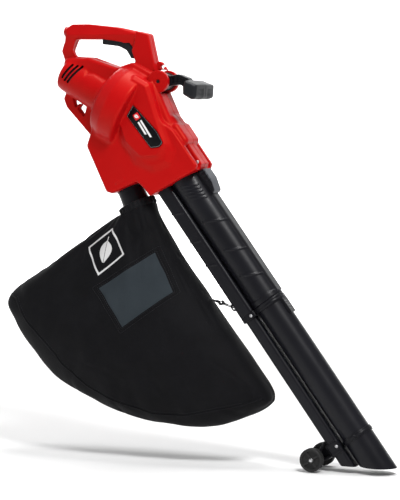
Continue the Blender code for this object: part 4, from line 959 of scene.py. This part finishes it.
def lower_tubes():
    """The round and the flat tube below the joint, cut off at the nozzle."""
    circle = [(34.0 * cos(a), 34.0 * sin(a)) for a in [2 * pi * k / 96 for k in range(96)]]
    inner = [(u * 31.8 / 34.0, v * 31.8 / 34.0) for u, v in circle]
    pipe = cut_pipe("pipe", circle, inner, SUCTION, LOWER_START_S, GROUND)
    placed(pipe, "lower_round_tube", "machine", "black_plastic", TUBE, "lower_suction_tube")
    place = TUBES @ Matrix.Translation(((81.5 + 53.0) / 2, 0, 0))
    outer, inner = rounded_box_outline(14.25, 26.0, 8.0), rounded_box_outline(12.05, 23.8, 6.0)
    duct = cut_pipe("duct", outer, inner, place, LOWER_START_S, GROUND)
    placed(duct, "lower_flat_duct", "machine", "black_plastic", TUBE, "lower_blow_tube")


def joint_band():
    """The collar where the tubes meet, ribbed, with a tongue down the round tube."""
    grid = lattice((-26, -42, 725), (89, 42, 783), 1.0, TUBES)
    band = drum(grid, 38.2, 728.4, 742, SUCTION, 1.5)
    band = blend(band, duct_field(grid, 31.0, -85, -47, 728.4, 742, 8), 1.5)
    tongue = duct_field(grid, 15.0, 12, 20.5, 734, 779, 2)
    band = blend(band, tongue, 1.5)
    for index in range(2):
        ring = drum(grid, 39.0, 731.0 + 6.0 * index, 733.0 + 6.0 * index, SUCTION, 0.5)
        band = blend(band, ring, 0.6)
    u, across, v = grid.into(TUBES)
    for index in range(4):
        groove = np.maximum(np.maximum(np.abs(v - 748 - 6.5 * index) - 0.9, np.abs(across) - 11.0), u + 19.6)
        band = carve(band, groove, 0.5)
    band = carve(band, drum(grid, 34.3, 720, 790, SUCTION), 0.5)
    band = carve(band, duct_field(grid, 26.3, -81.8, -52.7, 720, 790, 8), 0.5)
    moulded("joint_collar", grid, band, "machine", "black_plastic", BLACK, "joint_band")


def safety_wedge():
    """The grey wedge on top of the tube, with finger ribs on both sides."""
    grid = lattice((-42, -25, 399), (-17, 25, 466), 0.9, TUBES)
    profile = [(-20.9, 403, 0), (-37.5, 404, 3), (-38, 430, 8), (-30, 458, 4), (-22.3, 462, 0)]
    wedge = slab(grid, profile, 22.0, edge=3.0, place=TUBES)
    u, across, v = grid.into(TUBES)
    for index in range(4):
        groove = np.maximum(np.maximum(np.abs(v - 411 - 11 * index) - 2.0, 20.0 - np.abs(across)), u + 26)
        wedge = carve(wedge, groove, 0.8)
    wedge = carve(wedge, drum(grid, 37.0, 380, 480, SUCTION), 0.3)
    wedge = carve(wedge, duct_field(grid, 16.4, 0, 22.2, 380, 480, 2), 0.3)
    cap = np.minimum(np.abs(across) - 18.0, u + 35.0)
    moulded("tube_wedge", grid, np.maximum(wedge, cap), "machine", "grey_plastic", SLATE, "safety_wedge")
    moulded("wedge_sides", grid, np.maximum(wedge, 0.1 - cap), "machine", "black_plastic", BLACK)


def duct_and_collar():
    """The short duct to the bag, with its two beads, and the toothed collar that holds the bag on it."""
    length, wall = DUCT_LENGTH, 2.2
    outer, wide = 30.0, 31.5
    profile = [(outer - wall, -9), (outer, -9), (outer, 8), (outer + 1.1, 9), (outer + 1.1, 12), (outer, 13),
               (outer, 20), (outer + 1.1, 21), (outer + 1.1, 24), (outer, 25), (outer, length * 0.5),
               (wide, length - 8), (wide, length + 22), (wide - wall, length + 22), (wide - wall, length - 8),
               (outer - wall, length * 0.5)]
    placed(spun("duct", profile, DUCT), "leaf_duct", "machine", "black_plastic", BLACK, "bag_duct")
    inner = wide + 0.4
    band = [(inner, length - 7), (inner + 4.4, length - 7.4), (inner + 5.6, length - 6),
            (inner + 5.6, length - 4), (inner + 4.6, length - 3.4), (inner + 5.8, length - 2.4),
            (inner + 5.8, length - 0.4), (inner + 5, length), (inner, length)]
    collar = spun("collar", band, DUCT, 160, 0.006, 32)
    placed(collar, "neck_ring", "machine", "black_plastic", BLACK, "bag_collar")


# ---------------------------------------------------------------- wheels


def wheel_mesh():
    """A wheel with a recessed four-spoked face, a hub and a tread of shallow grooves, on the Z axis."""
    grid = lattice((-28, -28, -11), (28, 28, 11), 0.7)
    radius = np.sqrt(grid.x ** 2 + grid.y ** 2)
    z = grid.z + 0 * radius
    body = rounded_pair(radius - 26.0, np.abs(z) - 9.5, 2.5)
    angle = np.arctan2(grid.y, grid.x)
    body = carve(body, np.maximum(np.abs(radius - 14.3) - 6.0, 5.0 - np.abs(z)), 1.2)
    for index in range(4):
        turn = pi * index / 2 + 0.6
        along = grid.x * cos(turn) + grid.y * sin(turn)
        beside = -grid.x * sin(turn) + grid.y * cos(turn)
        spoke = np.maximum(np.maximum(np.abs(beside) - 2.2, np.abs(z) - 8.0), np.abs(along - 13.5) - 8.0)
        body = blend(body, spoke, 1.0)
    tread = np.maximum(np.abs(np.mod(angle * 24 / pi + 0.5, 1.0) - 0.5) * 3.4 - 0.5, 25.0 - radius)
    body = carve(body, np.maximum(tread, np.abs(z) - 6.5), 0.5)
    body = carve(body, np.maximum(radius - 5.6, 5.0 - np.abs(z)), 0.3)
    body = carve(body, radius - 3.3 + 0 * z, 0.3)
    mesh = net(grid, body, "wheel")
    mesh.set_sharp_from_angle(angle=radians(SMOOTH_OVER))
    return mesh


def wheels():
    """The same wheel on each end of the axle, its face outward."""
    source = wheel_mesh()
    for name, side in (("right", -1), ("left", 1)):
        mesh = source.copy()
        centre = Matrix.Translation(Vector((AXLE[0], side * WHEEL_Y, AXLE[2])) * MM)
        mesh.transform(centre @ Matrix.Rotation(radians(90.0 * side), 4, "X").inverted())
        placed(mesh, "roller_" + name, "wheel_" + name, "black_plastic", RUBBER, "wheel_" + name)
    bpy.data.meshes.remove(source)


def bracket():
    """The wheels' bracket round the flat duct, and the ring that ties it to the round tube."""
    grid = lattice((515, -33, -958), (625, 33, -868), 1.1)
    saddle = duct_field(grid, 30.0, -85.5, -52.0, 1066, 1096, 7)
    arm = slab(grid, [(556, -896, 0), (580, -929, 0), (560, -943, 6), (538, -952, 10), (522, -949, 8),
                      (524, -930, 8), (540, -924, 4)], 22.0, edge=2.5)
    hollow = np.maximum(slab(grid, [(556, -905, 0), (572, -929, 0), (556, -938, 4), (540, -943, 4),
                                    (534, -938, 4), (545, -928, 4)], 40.0), 14.0 - np.abs(grid.y))
    arm = carve(arm, hollow, 1.0)
    arm = carve(arm, duct_field(grid, 32.0, -81.8, 40.0, 1000, 1200, 2), 0.5)
    for index in range(2):
        bead = duct_field(grid, 30.9, -86.4, -53.0, 1069 + 20 * index, 1073 + 20 * index, 7)
        saddle = blend(saddle, bead, 0.8)
    shell = blend(saddle, arm, 3.0)
    shell = carve(shell, duct_field(grid, 26.3, -81.8, -41.0, 1000, 1200, 8), 0.5)
    shell = carve(shell, bar_y(grid, 3.3, -60, 60, AXLE), 0.5)
    moulded("wheel_carrier", grid, shell, "machine", "black_plastic", BLACK, "wheel_bracket")
    grid = lattice((-22, -42, 1074), (56, 42, 1094), 0.9, TUBES)
    ring = drum(grid, 36.4, 1078, 1090, SUCTION, 1.0)
    bead = drum(grid, 37.2, 1083, 1085, SUCTION, 0.6)
    barb = block(grid, (-7, -39, 1080), (7, -32, 1088), SUCTION, 1.5)
    ring = blend(blend(ring, bead, 0.8), barb, 1.0)
    ring = carve(ring, drum(grid, 34.3, 1000, 1200, SUCTION), 0.4)
    ring = carve(ring, duct_field(grid, 34.0, -89.5, -51.7, 1000, 1200, 2), 0.4)
    moulded("tube_strap", grid, ring, "machine", "black_plastic", BLACK, "tube_clamp")


def selector_lever():
    """The mode lever on the left side, with a ribbed thumb pad."""
    aim = Matrix.Translation(FLAP_AXIS) @ Matrix.Rotation(radians(150.0), 4, "Y")
    grid = lattice((-12, 54, -12), (42, 66, 12), 0.7, aim)
    corners = [(-8, -8, 7), (-8, 8, 7), (12, 7, 8), (37, 5, 5), (37, -5, 5), (12, -7, 8)]
    lever = slab(grid, corners, 3.0, y=60.5, edge=1.6, place=aim)
    u, across, v = grid.into(aim)
    for index in range(4):
        rib = np.maximum(np.maximum(np.abs(u - 20 - 4 * index) - 0.7, np.abs(v) - 3.6), 62.6 - across)
        lever = carve(lever, rib, 0.5)
    moulded("selector_lever", grid, lever, "mode_selector", "grey_plastic", SLATE, "mode_lever")


# ---------------------------------------------------------------- bag

BAG_HIGH = [(68, -413), (49, -419), (11, -437), (-64, -483), (-140, -538), (-200, -574), (-232, -612),
            (-216, -648), (-176, -706), (-110, -778), (-20, -826)]
BAG_LOW = [(133, -382.5), (146, -405), (194, -492), (268, -591), (334, -675), (394, -753), (430, -802),
           (424, -824), (350, -862), (262, -880), (172, -877)]
BAG_HALF = [36.5, 45, 58, 84, 99, 104, 104, 100, 88, 66, 34]
BAG_ROWS, BAG_COLUMNS = 92, 144
BAG_SCALE = 0.985
MOST_SWELL = 11.0
PINNED_RINGS, LAST_FRAME = 4, 20
GUSSET = [(-212, -604), (-188, -611), (-148, -665), (-115, -696), (-74, -735), (-59, -755), (6, -805),
          (71, -835), (160, -858), (240, -858), (304, -843), (370, -828), (414, -812)]
PATCH = [(163, -494), (212, -580), (104, -660), (39, -576)]
EMBLEM = [(56, -442), (95, -499), (36, -548), (-1, -487)]


def through(values, t):
    """The smooth curve through a list of values, at these places along the list."""
    values = np.array(values, float)
    last = len(values) - 1
    i = np.clip(np.floor(t).astype(int), 0, last - 1)
    f = (t - i).reshape((-1,) + (1,) * (values.ndim - 1))
    p0, p1, p2, p3 = (values[np.clip(i + k, 0, last)] for k in (-1, 0, 1, 2))
    return 0.5 * (2 * p1 + (p2 - p0) * f + (2 * p0 - 5 * p1 + 4 * p2 - p3) * f ** 2
                  + (3 * p1 - p0 - 3 * p2 + p3) * f ** 3)


def crumple(spot):
    """How far the cloth at this spot stands out or in: slow lumps with some sharper creases on them."""
    lumps = 4.2 * perlin.noise(spot / 78.0) + 2.2 * perlin.noise(spot / 34.0)
    slow = Vector((spot.x, spot.y * 0.5, spot.z)) / 95.0 + Vector((3.1, 7.7, 1.3))
    crease = 1.0 - abs(perlin.noise(slow)) * 7.0
    return lumps - 4.6 * max(0.0, crease) ** 2


def bag_rows():
    """Rings of points from the neck to the closed end, gathered at the neck, with long soft folds below."""
    fine = np.linspace(0, 10, 400)
    high, low = through(BAG_HIGH, fine), through(BAG_LOW, fine)
    steps = (np.linalg.norm(np.diff(high, axis=0), axis=1) + np.linalg.norm(np.diff(low, axis=0), axis=1)) / 2
    gone = np.concatenate([[0], np.cumsum(steps)])
    t = np.interp(np.linspace(0, gone[-1], BAG_ROWS), gone, fine)
    high, low, half = through(BAG_HIGH, t), through(BAG_LOW, t), through(BAG_HALF, t)
    turns = 2 * pi * np.arange(BAG_COLUMNS) / BAG_COLUMNS
    rows = []
    for i in range(BAG_ROWS):
        middle, reach = (high[i] + low[i]) / 2, (low[i] - high[i]) / 2
        scale = BAG_SCALE + (0.015 if t[i] < 0.5 else 0.0) + 0.16 * float(np.exp(-((t[i] - 0.35) / 0.45) ** 2))
        below = max(0.0, t[i] - 0.15)
        ruffle = 2.6 * np.exp(-below / 0.9) * min(1.0, below * 5) * np.sin(17 * turns + 0.6 * np.sin(3 * turns))
        folds = 3.6 * np.exp(-((t[i] - 2.6) / 1.8) ** 2) * np.sin(9 * turns + 1.3 * np.sin(2 * turns + 0.4))
        puckers = 1.6 * np.exp(-((t[i] - 7.5) / 2.2) ** 2) * np.sin(13 * turns + 1.1 * t[i])
        c, d = np.cos(turns), np.sin(turns)
        c, d = np.sign(c) * np.abs(c) ** 0.9, np.sign(d) * np.abs(d) ** 0.9
        grow = scale + (ruffle + folds + puckers) * np.abs(d) / max(half[i], 30.0)
        wide = c * scale
        row = np.stack([middle[0] + reach[0] * wide, half[i] * d * grow, middle[1] + reach[1] * wide], 1)
        heart = np.array((middle[0], 0.0, middle[1]))
        for k in range(BAG_COLUMNS):
            spot = Vector(row[k])
            lump = crumple(spot) * min(1.0, below * 1.5)
            row[k] += (row[k] - heart) / max(np.linalg.norm(row[k] - heart), 1.0) * lump
        rows.append(row)
    ends = np.array([9.6, 10.0])
    near, end = through(BAG_HIGH, ends) + through(BAG_LOW, ends)
    away = (end - near) / np.linalg.norm(end - near)
    last = rows[-1]
    centre = last.mean(0)
    for share, push in ((0.82, 5.0), (0.55, 8.0), (0.27, 9.5), (0.06, 10.0)):
        rows.append(centre + (last - centre) * share + np.array([away[0], 0, away[1]]) * push)
    return rows


def swollen(mesh, pinned):
    """The bag's shell after air has filled it, by a cloth simulation whose points move up to a limit."""
    piece = bpy.data.objects.new("cloth_start", mesh)
    scene = bpy.context.scene
    scene.collection.objects.link(piece)
    group = piece.vertex_groups.new(name="neck")
    group.add(list(range(pinned)), 1.0, "REPLACE")
    cloth = piece.modifiers.new("cloth", "CLOTH")
    settings = cloth.settings
    settings.quality = 6
    settings.mass = 0.12
    settings.tension_stiffness = settings.compression_stiffness = 22
    settings.shear_stiffness = 6
    settings.bending_stiffness = 0.4
    settings.vertex_group_mass = "neck"
    settings.use_pressure = True
    settings.uniform_pressure_force = 4.0
    settings.shrink_min = -0.025
    settings.effector_weights.gravity = 0.12
    cloth.point_cache.frame_start, cloth.point_cache.frame_end = 1, LAST_FRAME
    before = np.array([v.co for v in mesh.vertices])
    for number in range(1, LAST_FRAME + 1):
        scene.frame_set(number)
    result = piece.evaluated_get(bpy.context.evaluated_depsgraph_get())
    after = np.array([v.co for v in result.to_mesh().vertices])
    result.to_mesh_clear()
    bpy.data.objects.remove(piece)
    scene.frame_set(1)
    move = after - before
    length = np.maximum(np.linalg.norm(move, axis=1, keepdims=True), 1e-9)
    limit = MOST_SWELL * MM
    return before + move / length * limit * np.tanh(length / limit)


def bag_shell():
    """The bag, filled by a cloth simulation, and a tree of its faces for laying trims on it."""
    rows = bag_rows()
    points = np.concatenate(rows)
    count = BAG_COLUMNS
    faces = grid_faces(len(rows), count, True)
    faces.append(tuple(range((len(rows) - 1) * count, len(rows) * count)))
    mesh = mesh_of("bag_start", points.tolist(), faces)
    shape = swollen(mesh.copy(), PINNED_RINGS * count)
    mesh.vertices.foreach_set("co", shape.ravel())
    holder = bpy.data.objects.new("bag_holder", mesh)
    bpy.context.scene.collection.objects.link(holder)
    finer = holder.modifiers.new("finer", "SUBSURF")
    finer.levels = finer.render_levels = 1
    smooth = bpy.data.meshes.new_from_object(holder.evaluated_get(bpy.context.evaluated_depsgraph_get()))
    bpy.data.objects.remove(holder)
    smooth.shade_smooth()
    piece = placed(smooth, "sack", "machine", "bag_fabric", CLOTH, "bag")
    tree = BVHTree.FromPolygons([v.co for v in smooth.vertices], [tuple(p.vertices) for p in smooth.polygons])
    return piece, tree


def on_bag(tree, x, z, side, lift):
    """The point of the bag's side under (x, z), lifted off it, in millimetres."""
    hit, normal, _, _ = tree.ray_cast(Vector((x * MM, side * 0.3, z * MM)), Vector((0, -side, 0)))
    if hit is None:
        return None
    if normal.y * side < 0:
        normal = -normal
    return hit / MM + normal * lift


def even(points, pitch, closed=False):
    """Points evenly spaced along a line."""
    points = [Vector(p) for p in points] + ([Vector(points[0])] if closed else [])
    lengths = [0.0]
    for a, b in zip(points, points[1:]):
        lengths.append(lengths[-1] + (b - a).length)
    count = max(2, int(round(lengths[-1] / pitch)))
    found = []
    for k in range(count + (0 if closed else 1)):
        d = lengths[-1] * k / count
        i = max(j for j in range(len(points) - 1) if lengths[j] <= d + 1e-9)
        f = (d - lengths[i]) / max(lengths[i + 1] - lengths[i], 1e-9)
        found.append(points[i].lerp(points[i + 1], min(f, 1.0)))
    return found


def draped(tree, corners, rows, columns, side, lift):
    """A patch lying on the bag between four corners."""
    a, b, c, d = (Vector(p) for p in corners)
    points = []
    for i in range(rows):
        for j in range(columns):
            u, v = i / (rows - 1), j / (columns - 1)
            spot = a.lerp(b, u).lerp(d.lerp(c, u), v)
            edge = min(u, v, 1 - u, 1 - v)
            points.append(on_bag(tree, spot.x, spot.y, side, lift if edge > 0 else 0.15))
    return mesh_of("patch", points, grid_faces(rows, columns))


def stitches(tree, line, side, pitch=6.0, closed=False, lift=0.5):
    """A running stitch along a line on the bag: short raised threads."""
    made = []
    spots = even(line, pitch, closed)
    for a, b in zip(spots, spots[1:] + (spots[:1] if closed else [])):
        start, end = a.lerp(b, 0.14), a.lerp(b, 0.80)
        path = [on_bag(tree, p.x, p.y, side, up) for p, up in
                ((start, -0.2), (start.lerp(end, 0.25), lift), (start.lerp(end, 0.75), lift), (end, -0.2))]
        if all(point is not None for point in path):
            made.append(wire("stitch", path, 0.5, 5))
    return made


def outset(corners, reach):
    """A four-cornered outline grown outward by this much."""
    middle = sum((Vector(c) for c in corners), Vector((0, 0))) / len(corners)
    return [middle + (Vector(c) - middle) * (1 + reach / (Vector(c) - middle).length) for c in corners]


def bag_trim(tree):
    """Piping and stitching on the gussets, the window patches, and the printed emblem."""
    for name, side in (("right", -1.0), ("left", 1.0)):
        line = [on_bag(tree, p.x, p.y, side, 0.4) for p in even(GUSSET, 7.0)]
        line = [point for point in line if point is not None]
        placed(wire("piping", line, 1.7, 8), "gusset_piping_" + name, "machine", "bag_fabric", TRIM)
        above = [Vector(p) + Vector((3.0, 6.0)) for p in GUSSET[1:-1]]
        seam = merged("stitching", stitches(tree, above, side))
        placed(seam, "gusset_stitches_" + name, "machine", "bag_fabric", THREAD)
        window = draped(tree, PATCH, 34, 34, side, 1.7)
        placed(window, "bag_window_" + name, "machine", "bag_fabric", SLATE_CLOTH)
        hem = outset(PATCH, 9.0)
        ring = [on_bag(tree, p.x, p.y, side, 0.3) for p in even(hem, 7.0, True)]
        placed(wire("hem", ring, 1.1, 8, True), "window_hem_" + name, "machine", "bag_fabric", TRIM)
        threads = stitches(tree, outset(PATCH, 4.0), side, 5.0, True, 0.9)
        threads += stitches(tree, outset(PATCH, 15.0), side, 5.0, True)
        placed(merged("stitching", threads), "window_stitches_" + name, "machine", "bag_fabric", THREAD)
        emblem(tree, name, side)


def emblem(tree, name, side):
    """A plain rounded frame with a leaf in it, printed on the bag."""
    a, b, c, d = (Vector(p) for p in EMBLEM)

    def spot(u, v):
        place = a.lerp(b, u).lerp(d.lerp(c, u), v)
        return on_bag(tree, place.x, place.y, side, 0.7)

    def rim(inset):
        low, high = inset, 1 - inset
        square = [(low, low), (high, low), (high, high), (low, high)]
        return [spot(p.x, p.y) for p in even(square, high / 22, True)]

    outer, inner = rim(0.0), rim(0.055)
    inner = [inner[round(k * len(inner) / len(outer)) % len(inner)] for k in range(len(outer))]
    made = [mesh_of("frame", outer + inner, ring_faces(len(outer)))]
    for half in leaf_rows((0.27, 0.30), (0.76, 0.70), 0.17):
        points = [spot(p.x, p.y) for row in half for p in row]
        made.append(mesh_of("leaf", points, grid_faces(len(half), len(half[0]))))
    made.append(wire("stem", [spot(x, x * 0.8 + 0.08) for x in (0.17, 0.22, 0.28)], 0.8, 6))
    placed(merged("emblem", made), "bag_emblem_" + name, "machine", "bag_fabric", PRINT_BAG)


def zip_fastener(tree):
    """The zip along the rear lower edge: two tapes, a row of teeth, and a slider with its pull."""
    line = even([Vector(p) for p in BAG_HIGH[6:]], 2.6)
    tape, teeth, places = [], [], []
    for index, point in enumerate(line):
        along = (line[min(index + 1, len(line) - 1)] - line[max(index - 1, 0)]).normalized()
        away = Vector((along.y, -along.x))
        row = []
        for y in (-7.0, -5.0, -1.6, -1.2, 1.2, 1.6, 5.0, 7.0):
            start = Vector(((point.x + away.x * 60) * MM, y * MM, (point.y + away.y * 60) * MM))
            hit = tree.ray_cast(start, Vector((-away.x, 0, -away.y)))[0]
            spot = hit / MM if hit is not None else Vector((point.x, y, point.y))
            row.append(spot + Vector((away.x, 0, away.y)) * (0.1 if abs(y) > 6 else 0.9))
        tape += row
        middle = (row[3] + row[4]) / 2
        places.append((middle, along, away))
        shift = 0.7 if index % 2 else -0.7
        forward, outward = Vector((along.x, 0, along.y)), Vector((away.x, 0, away.y))
        corners = [middle + forward * i + Vector((0, j + shift, 0)) + outward * (0.8 + k)
                   for i in (-0.75, 0.75) for j in (-1.7, 1.7) for k in (-0.8, 0.8)]
        teeth.append(mesh_of("tooth", corners, [(0, 1, 3, 2), (4, 6, 7, 5), (0, 4, 5, 1), (2, 3, 7, 6),
                                                (0, 2, 6, 4), (1, 5, 7, 3)]))
    band = mesh_of("tape", tape, grid_faces(len(line), 8))
    placed(band, "zip_tape", "machine", "webbing", WEBBING, "bag_zip")
    placed(merged("teeth", teeth), "zip_teeth", "machine", "webbing", TRIM)
    middle, along, away = places[len(places) // 3]
    turn = Matrix(((along.x, 0, away.x, middle.x), (0, 1, 0, 0), (along.y, 0, away.y, middle.z), (0, 0, 0, 1)))
    grid = lattice((-12, -6, -2), (26, 6, 6), 0.45, turn)
    u, across, v = grid.into(turn)
    body = rounded_pair(rounded_pair(np.abs(u) - 7.5, np.abs(across) - 4.6 + 0.12 * np.abs(u - 6), 1.5),
                        np.abs(v - 1.8) - 1.6, 0.8)
    bridge = rounded_pair(np.maximum(np.abs(u) - 4.5, np.abs(across) - 1.3), np.abs(v - 4.0) - 1.0, 0.4)
    bridge = np.maximum(bridge, -(np.sqrt(u * u + (v - 3.4) ** 2) - 1.0 + 0 * across))
    flat = rounded_pair(np.abs(u - 12) - 10.5, np.abs(across) - 3.2, 2.4)
    pull = rounded_pair(flat, np.abs(v - 3.7) - 0.6, 0.3)
    pull = carve(pull, np.sqrt((u - 18) ** 2 + across ** 2) - 1.5 + 0 * v, 0.2)
    pull = carve(pull, np.maximum(np.abs(u - 3.4) - 2.2, np.abs(across) - 1.8) + 0 * v, 0.2)
    runner = blend(blend(body, bridge, 0.5), pull, 0.1)
    moulded("zip_runner", grid, runner, "machine", "steel", STEEL, "zip_slider")


def neck_gather():
    """The gathered hem that the collar holds, with its drawn band."""
    start = DUCT_LENGTH - 9.0
    hem = [(38.0, start), (40.2, start - 1.6), (42.6, start - 0.6), (43.6, start + 2.6), (43.0, start + 7.0),
           (43.8, start + 11.0), (43.0, start + 14.5), (40.4, start + 16.4), (38.0, start + 14.0)]
    placed(spun("hem", hem, DUCT, 224, 0.022, 23), "neck_hem", "machine", "bag_fabric", TRIM)


def hook_frame():
    """A frame in the eye whose X runs to the strap's end on the bag, and how far away that is."""
    centre = at_tubes(HOOK_EYE_S, HOOK_EYE_N)
    reach = Vector((284.0, 0, -601.0)) - centre
    pull = reach.normalized()
    turn = Matrix(((pull.x, 0, -pull.z), (0, 1, 0), (pull.z, 0, pull.x))).to_4x4()
    return Matrix.Translation(centre) @ turn, reach.length


def bag_hook():
    """The moulded eye, the bent wire hook with its gate, and the webbing from the hook to the bag."""
    hook, length = hook_frame()
    grid = lattice((84.5, -4, 678), (101, 4, 710), 0.6, TUBES)
    corners = [(85.3, 680, 0), (85.3, 708, 0), (99.3, 700, 6), (99.3, 688, 6)]
    eye = slab(grid, corners, 2.5, edge=1.0, place=TUBES)
    u, across, v = grid.into(TUBES)
    eye = carve(eye, np.sqrt((u + HOOK_EYE_N) ** 2 + (v - HOOK_EYE_S) ** 2) - 4.2 + 0 * across, 0.8)
    moulded("eye_lug", grid, eye, "machine", "black_plastic", BLACK, "tube_eye")
    half = HOOK_HALF
    bend = [(18, half), (26, half), (28.5, half - 1.2), (29, 4), (29, -4), (28.5, 1.2 - half), (22, -half),
            (4, -half), (0, 1.2 - half), (-2.2, 3.4 - half), (-2.5, 0), (-2.2, half - 3.4), (0, half - 1.2),
            (3, half)]
    smooth = through(bend, np.linspace(0, len(bend) - 1, 90))
    bent = wire("hook", [hook @ Vector((x, z, 0)) for x, z in smooth], 1.4, 12)
    placed(bent, "hook_wire", "machine", "steel", DARK_STEEL, "snap_hook")
    gate = [hook @ Vector((x, half, 0)) for x in (4.8, 8.0, 12.0, 17.5)]
    placed(wire("gate", gate, 1.0, 12), "hook_gate_wire", "hook_gate", "steel", STEEL, "snap_hook_gate")
    end = length + 6.0
    path = [(end, 0.9), (46, 0.9), (37, 0.9), (34.5, 3.2)]
    path += [(31.0 + 4.5 * cos(a), 4.5 * sin(a)) for a in [radians(50 + 26 * k) for k in range(11)]]
    path += [(34.5, -3.2), (37, -0.9), (46, -0.9), (end - 12, -0.9)]
    middle = [Vector((u, 0, v)) for u, v in path]
    points = []
    for index, here in enumerate(middle):
        along = (middle[min(index + 1, len(middle) - 1)] - middle[max(index - 1, 0)]).normalized()
        out = Vector((-along.z, 0, along.x)) * 0.85
        for y, o in ((-6.6, -1), (6.6, -1), (7.0, 0), (6.6, 1), (-6.6, 1), (-7.0, 0)):
            points.append(hook @ (here + out * o + Vector((0, y, 0))))
    faces = grid_faces(len(middle), 6, True) + [tuple(range(6)), tuple(range(len(points) - 6, len(points)))]
    placed(mesh_of("tape", points, faces), "strap_webbing", "machine", "webbing", WEBBING, "bag_strap")
    threads = []
    box = [(40, -4.5), (52, -4.5), (52, 4.5), (40, 4.5)]
    for a, b in zip(box + [box[0]], box[1:] + [box[0], box[2]]):
        for k in range(4):
            ends = [Vector(a).lerp(Vector(b), k / 4 + share) for share in (0.04, 0.19)]
            threads.append(wire("stitch", [hook @ Vector((end.x, end.y, 1.7)) for end in ends], 0.35, 5))
    placed(merged("stitches", threads), "strap_stitches", "machine", "webbing", THREAD)


def vent_shade_ring():
    """A dark ring inside the motor's tail, close behind the side slots: painted shade, so what shows through
    the slots is dark.
    """
    wall = [(33.4, -167), (34.6, -167), (37.4, -112), (36.2, -112)]
    # Painted shade: a black ring behind the vent slots darkens what is seen through them.
    placed(spun("shade_ring_mesh", wall, MOTOR, 72), "tail_shade_ring", "machine", "black_plastic", BLACK)


# ---------------------------------------------------------------- stage


AZIMUTH, ELEVATION, DISTANCE = radians(22.0), radians(4.5), 4.5
TARGET = Vector((0.2506, 0.0, -0.4895))
COVE_RADIUS, COVE_START, FLOOR_HALF, COVE_TOP = 2.0, 7.0, 9.0, 6.0


def linked(name, data):
    """A new object in the scene."""
    thing = bpy.data.objects.new(name, data)
    bpy.context.scene.collection.objects.link(thing)
    return thing


def stage():
    """The camera, a pale floor that curves up behind, and soft lights."""
    camera = bpy.data.cameras.new("camera")
    camera.lens, camera.sensor_width = 144.0, 36.0
    camera.clip_end = 50.0
    holder = linked("camera", camera)
    back = Vector((sin(AZIMUTH) * cos(ELEVATION), -cos(AZIMUTH) * cos(ELEVATION), sin(ELEVATION)))
    holder.location = TARGET + back * DISTANCE
    holder.rotation_euler = back.to_track_quat("Z", "Y").to_euler()
    bpy.context.scene.camera = holder
    floor_z = CAD_BOX[0][2] - 0.002
    form = bmesh.new()
    turns = [pi / 2 * k / 16 for k in range(1, 17)]
    cove = [(COVE_START + COVE_RADIUS * sin(turn), COVE_RADIUS - COVE_RADIUS * cos(turn)) for turn in turns]
    profile = [(-FLOOR_HALF, 0.0), (COVE_START, 0.0)] + cove + [(COVE_START + COVE_RADIUS, COVE_TOP)]
    rows = [[form.verts.new((x, y, floor_z + z)) for x in (-FLOOR_HALF, FLOOR_HALF)] for y, z in profile]
    for a, b in zip(rows, rows[1:]):
        form.faces.new((a[0], a[1], b[1], b[0]))
    mesh = bpy.data.meshes.new("floor")
    form.to_mesh(mesh)
    form.free()
    mesh.shade_smooth()
    floor = linked("floor", mesh)
    mesh.materials.append(new_material("pale_floor", grey(0.86), 0.9)[0])
    middle = Vector((0.2, 0.0, -0.4))
    lights = [("key", (2.5, -2.0, 3.0), 1.1, 175.0, middle), ("fill", (-3.0, -2.6, 0.5), 2.4, 14.0, middle),
              ("top", (0.3, 0.5, 3.0), 1.4, 85.0, middle), ("rim", (-2.0, 2.2, 1.4), 1.5, 26.0, middle),
              ("backdrop", (-1.2, 4.4, 2.8), 3.0, 620.0, Vector((-2.6, 8.6, -0.7)))]
    for name, place, size, power, aim in lights:
        lamp = bpy.data.lights.new(name, "AREA")
        lamp.size, lamp.energy = size, power
        thing = linked(name, lamp)
        thing.location = Vector(place)
        thing.rotation_euler = (Vector(place) - aim).to_track_quat("Z", "Y").to_euler()
    world = bpy.data.worlds.new("studio")
    bpy.context.scene.world = world
    world.use_nodes = True
    world.node_tree.nodes["Background"].inputs["Color"].default_value = (1.0, 1.0, 1.0, 1.0)
    world.node_tree.nodes["Background"].inputs["Strength"].default_value = 0.34
    bpy.context.scene.view_settings.view_transform = "Standard"


stage()
housing()
labels()
trigger()
front_handle()
upper_tube()
lower_tubes()
joint_band()
safety_wedge()
duct_and_collar()
wheels()
bracket()
selector_lever()
vent_shade_ring()
sack, sack_tree = bag_shell()
bag_trim(sack_tree)
zip_fastener(sack_tree)
neck_gather()
bag_hook()
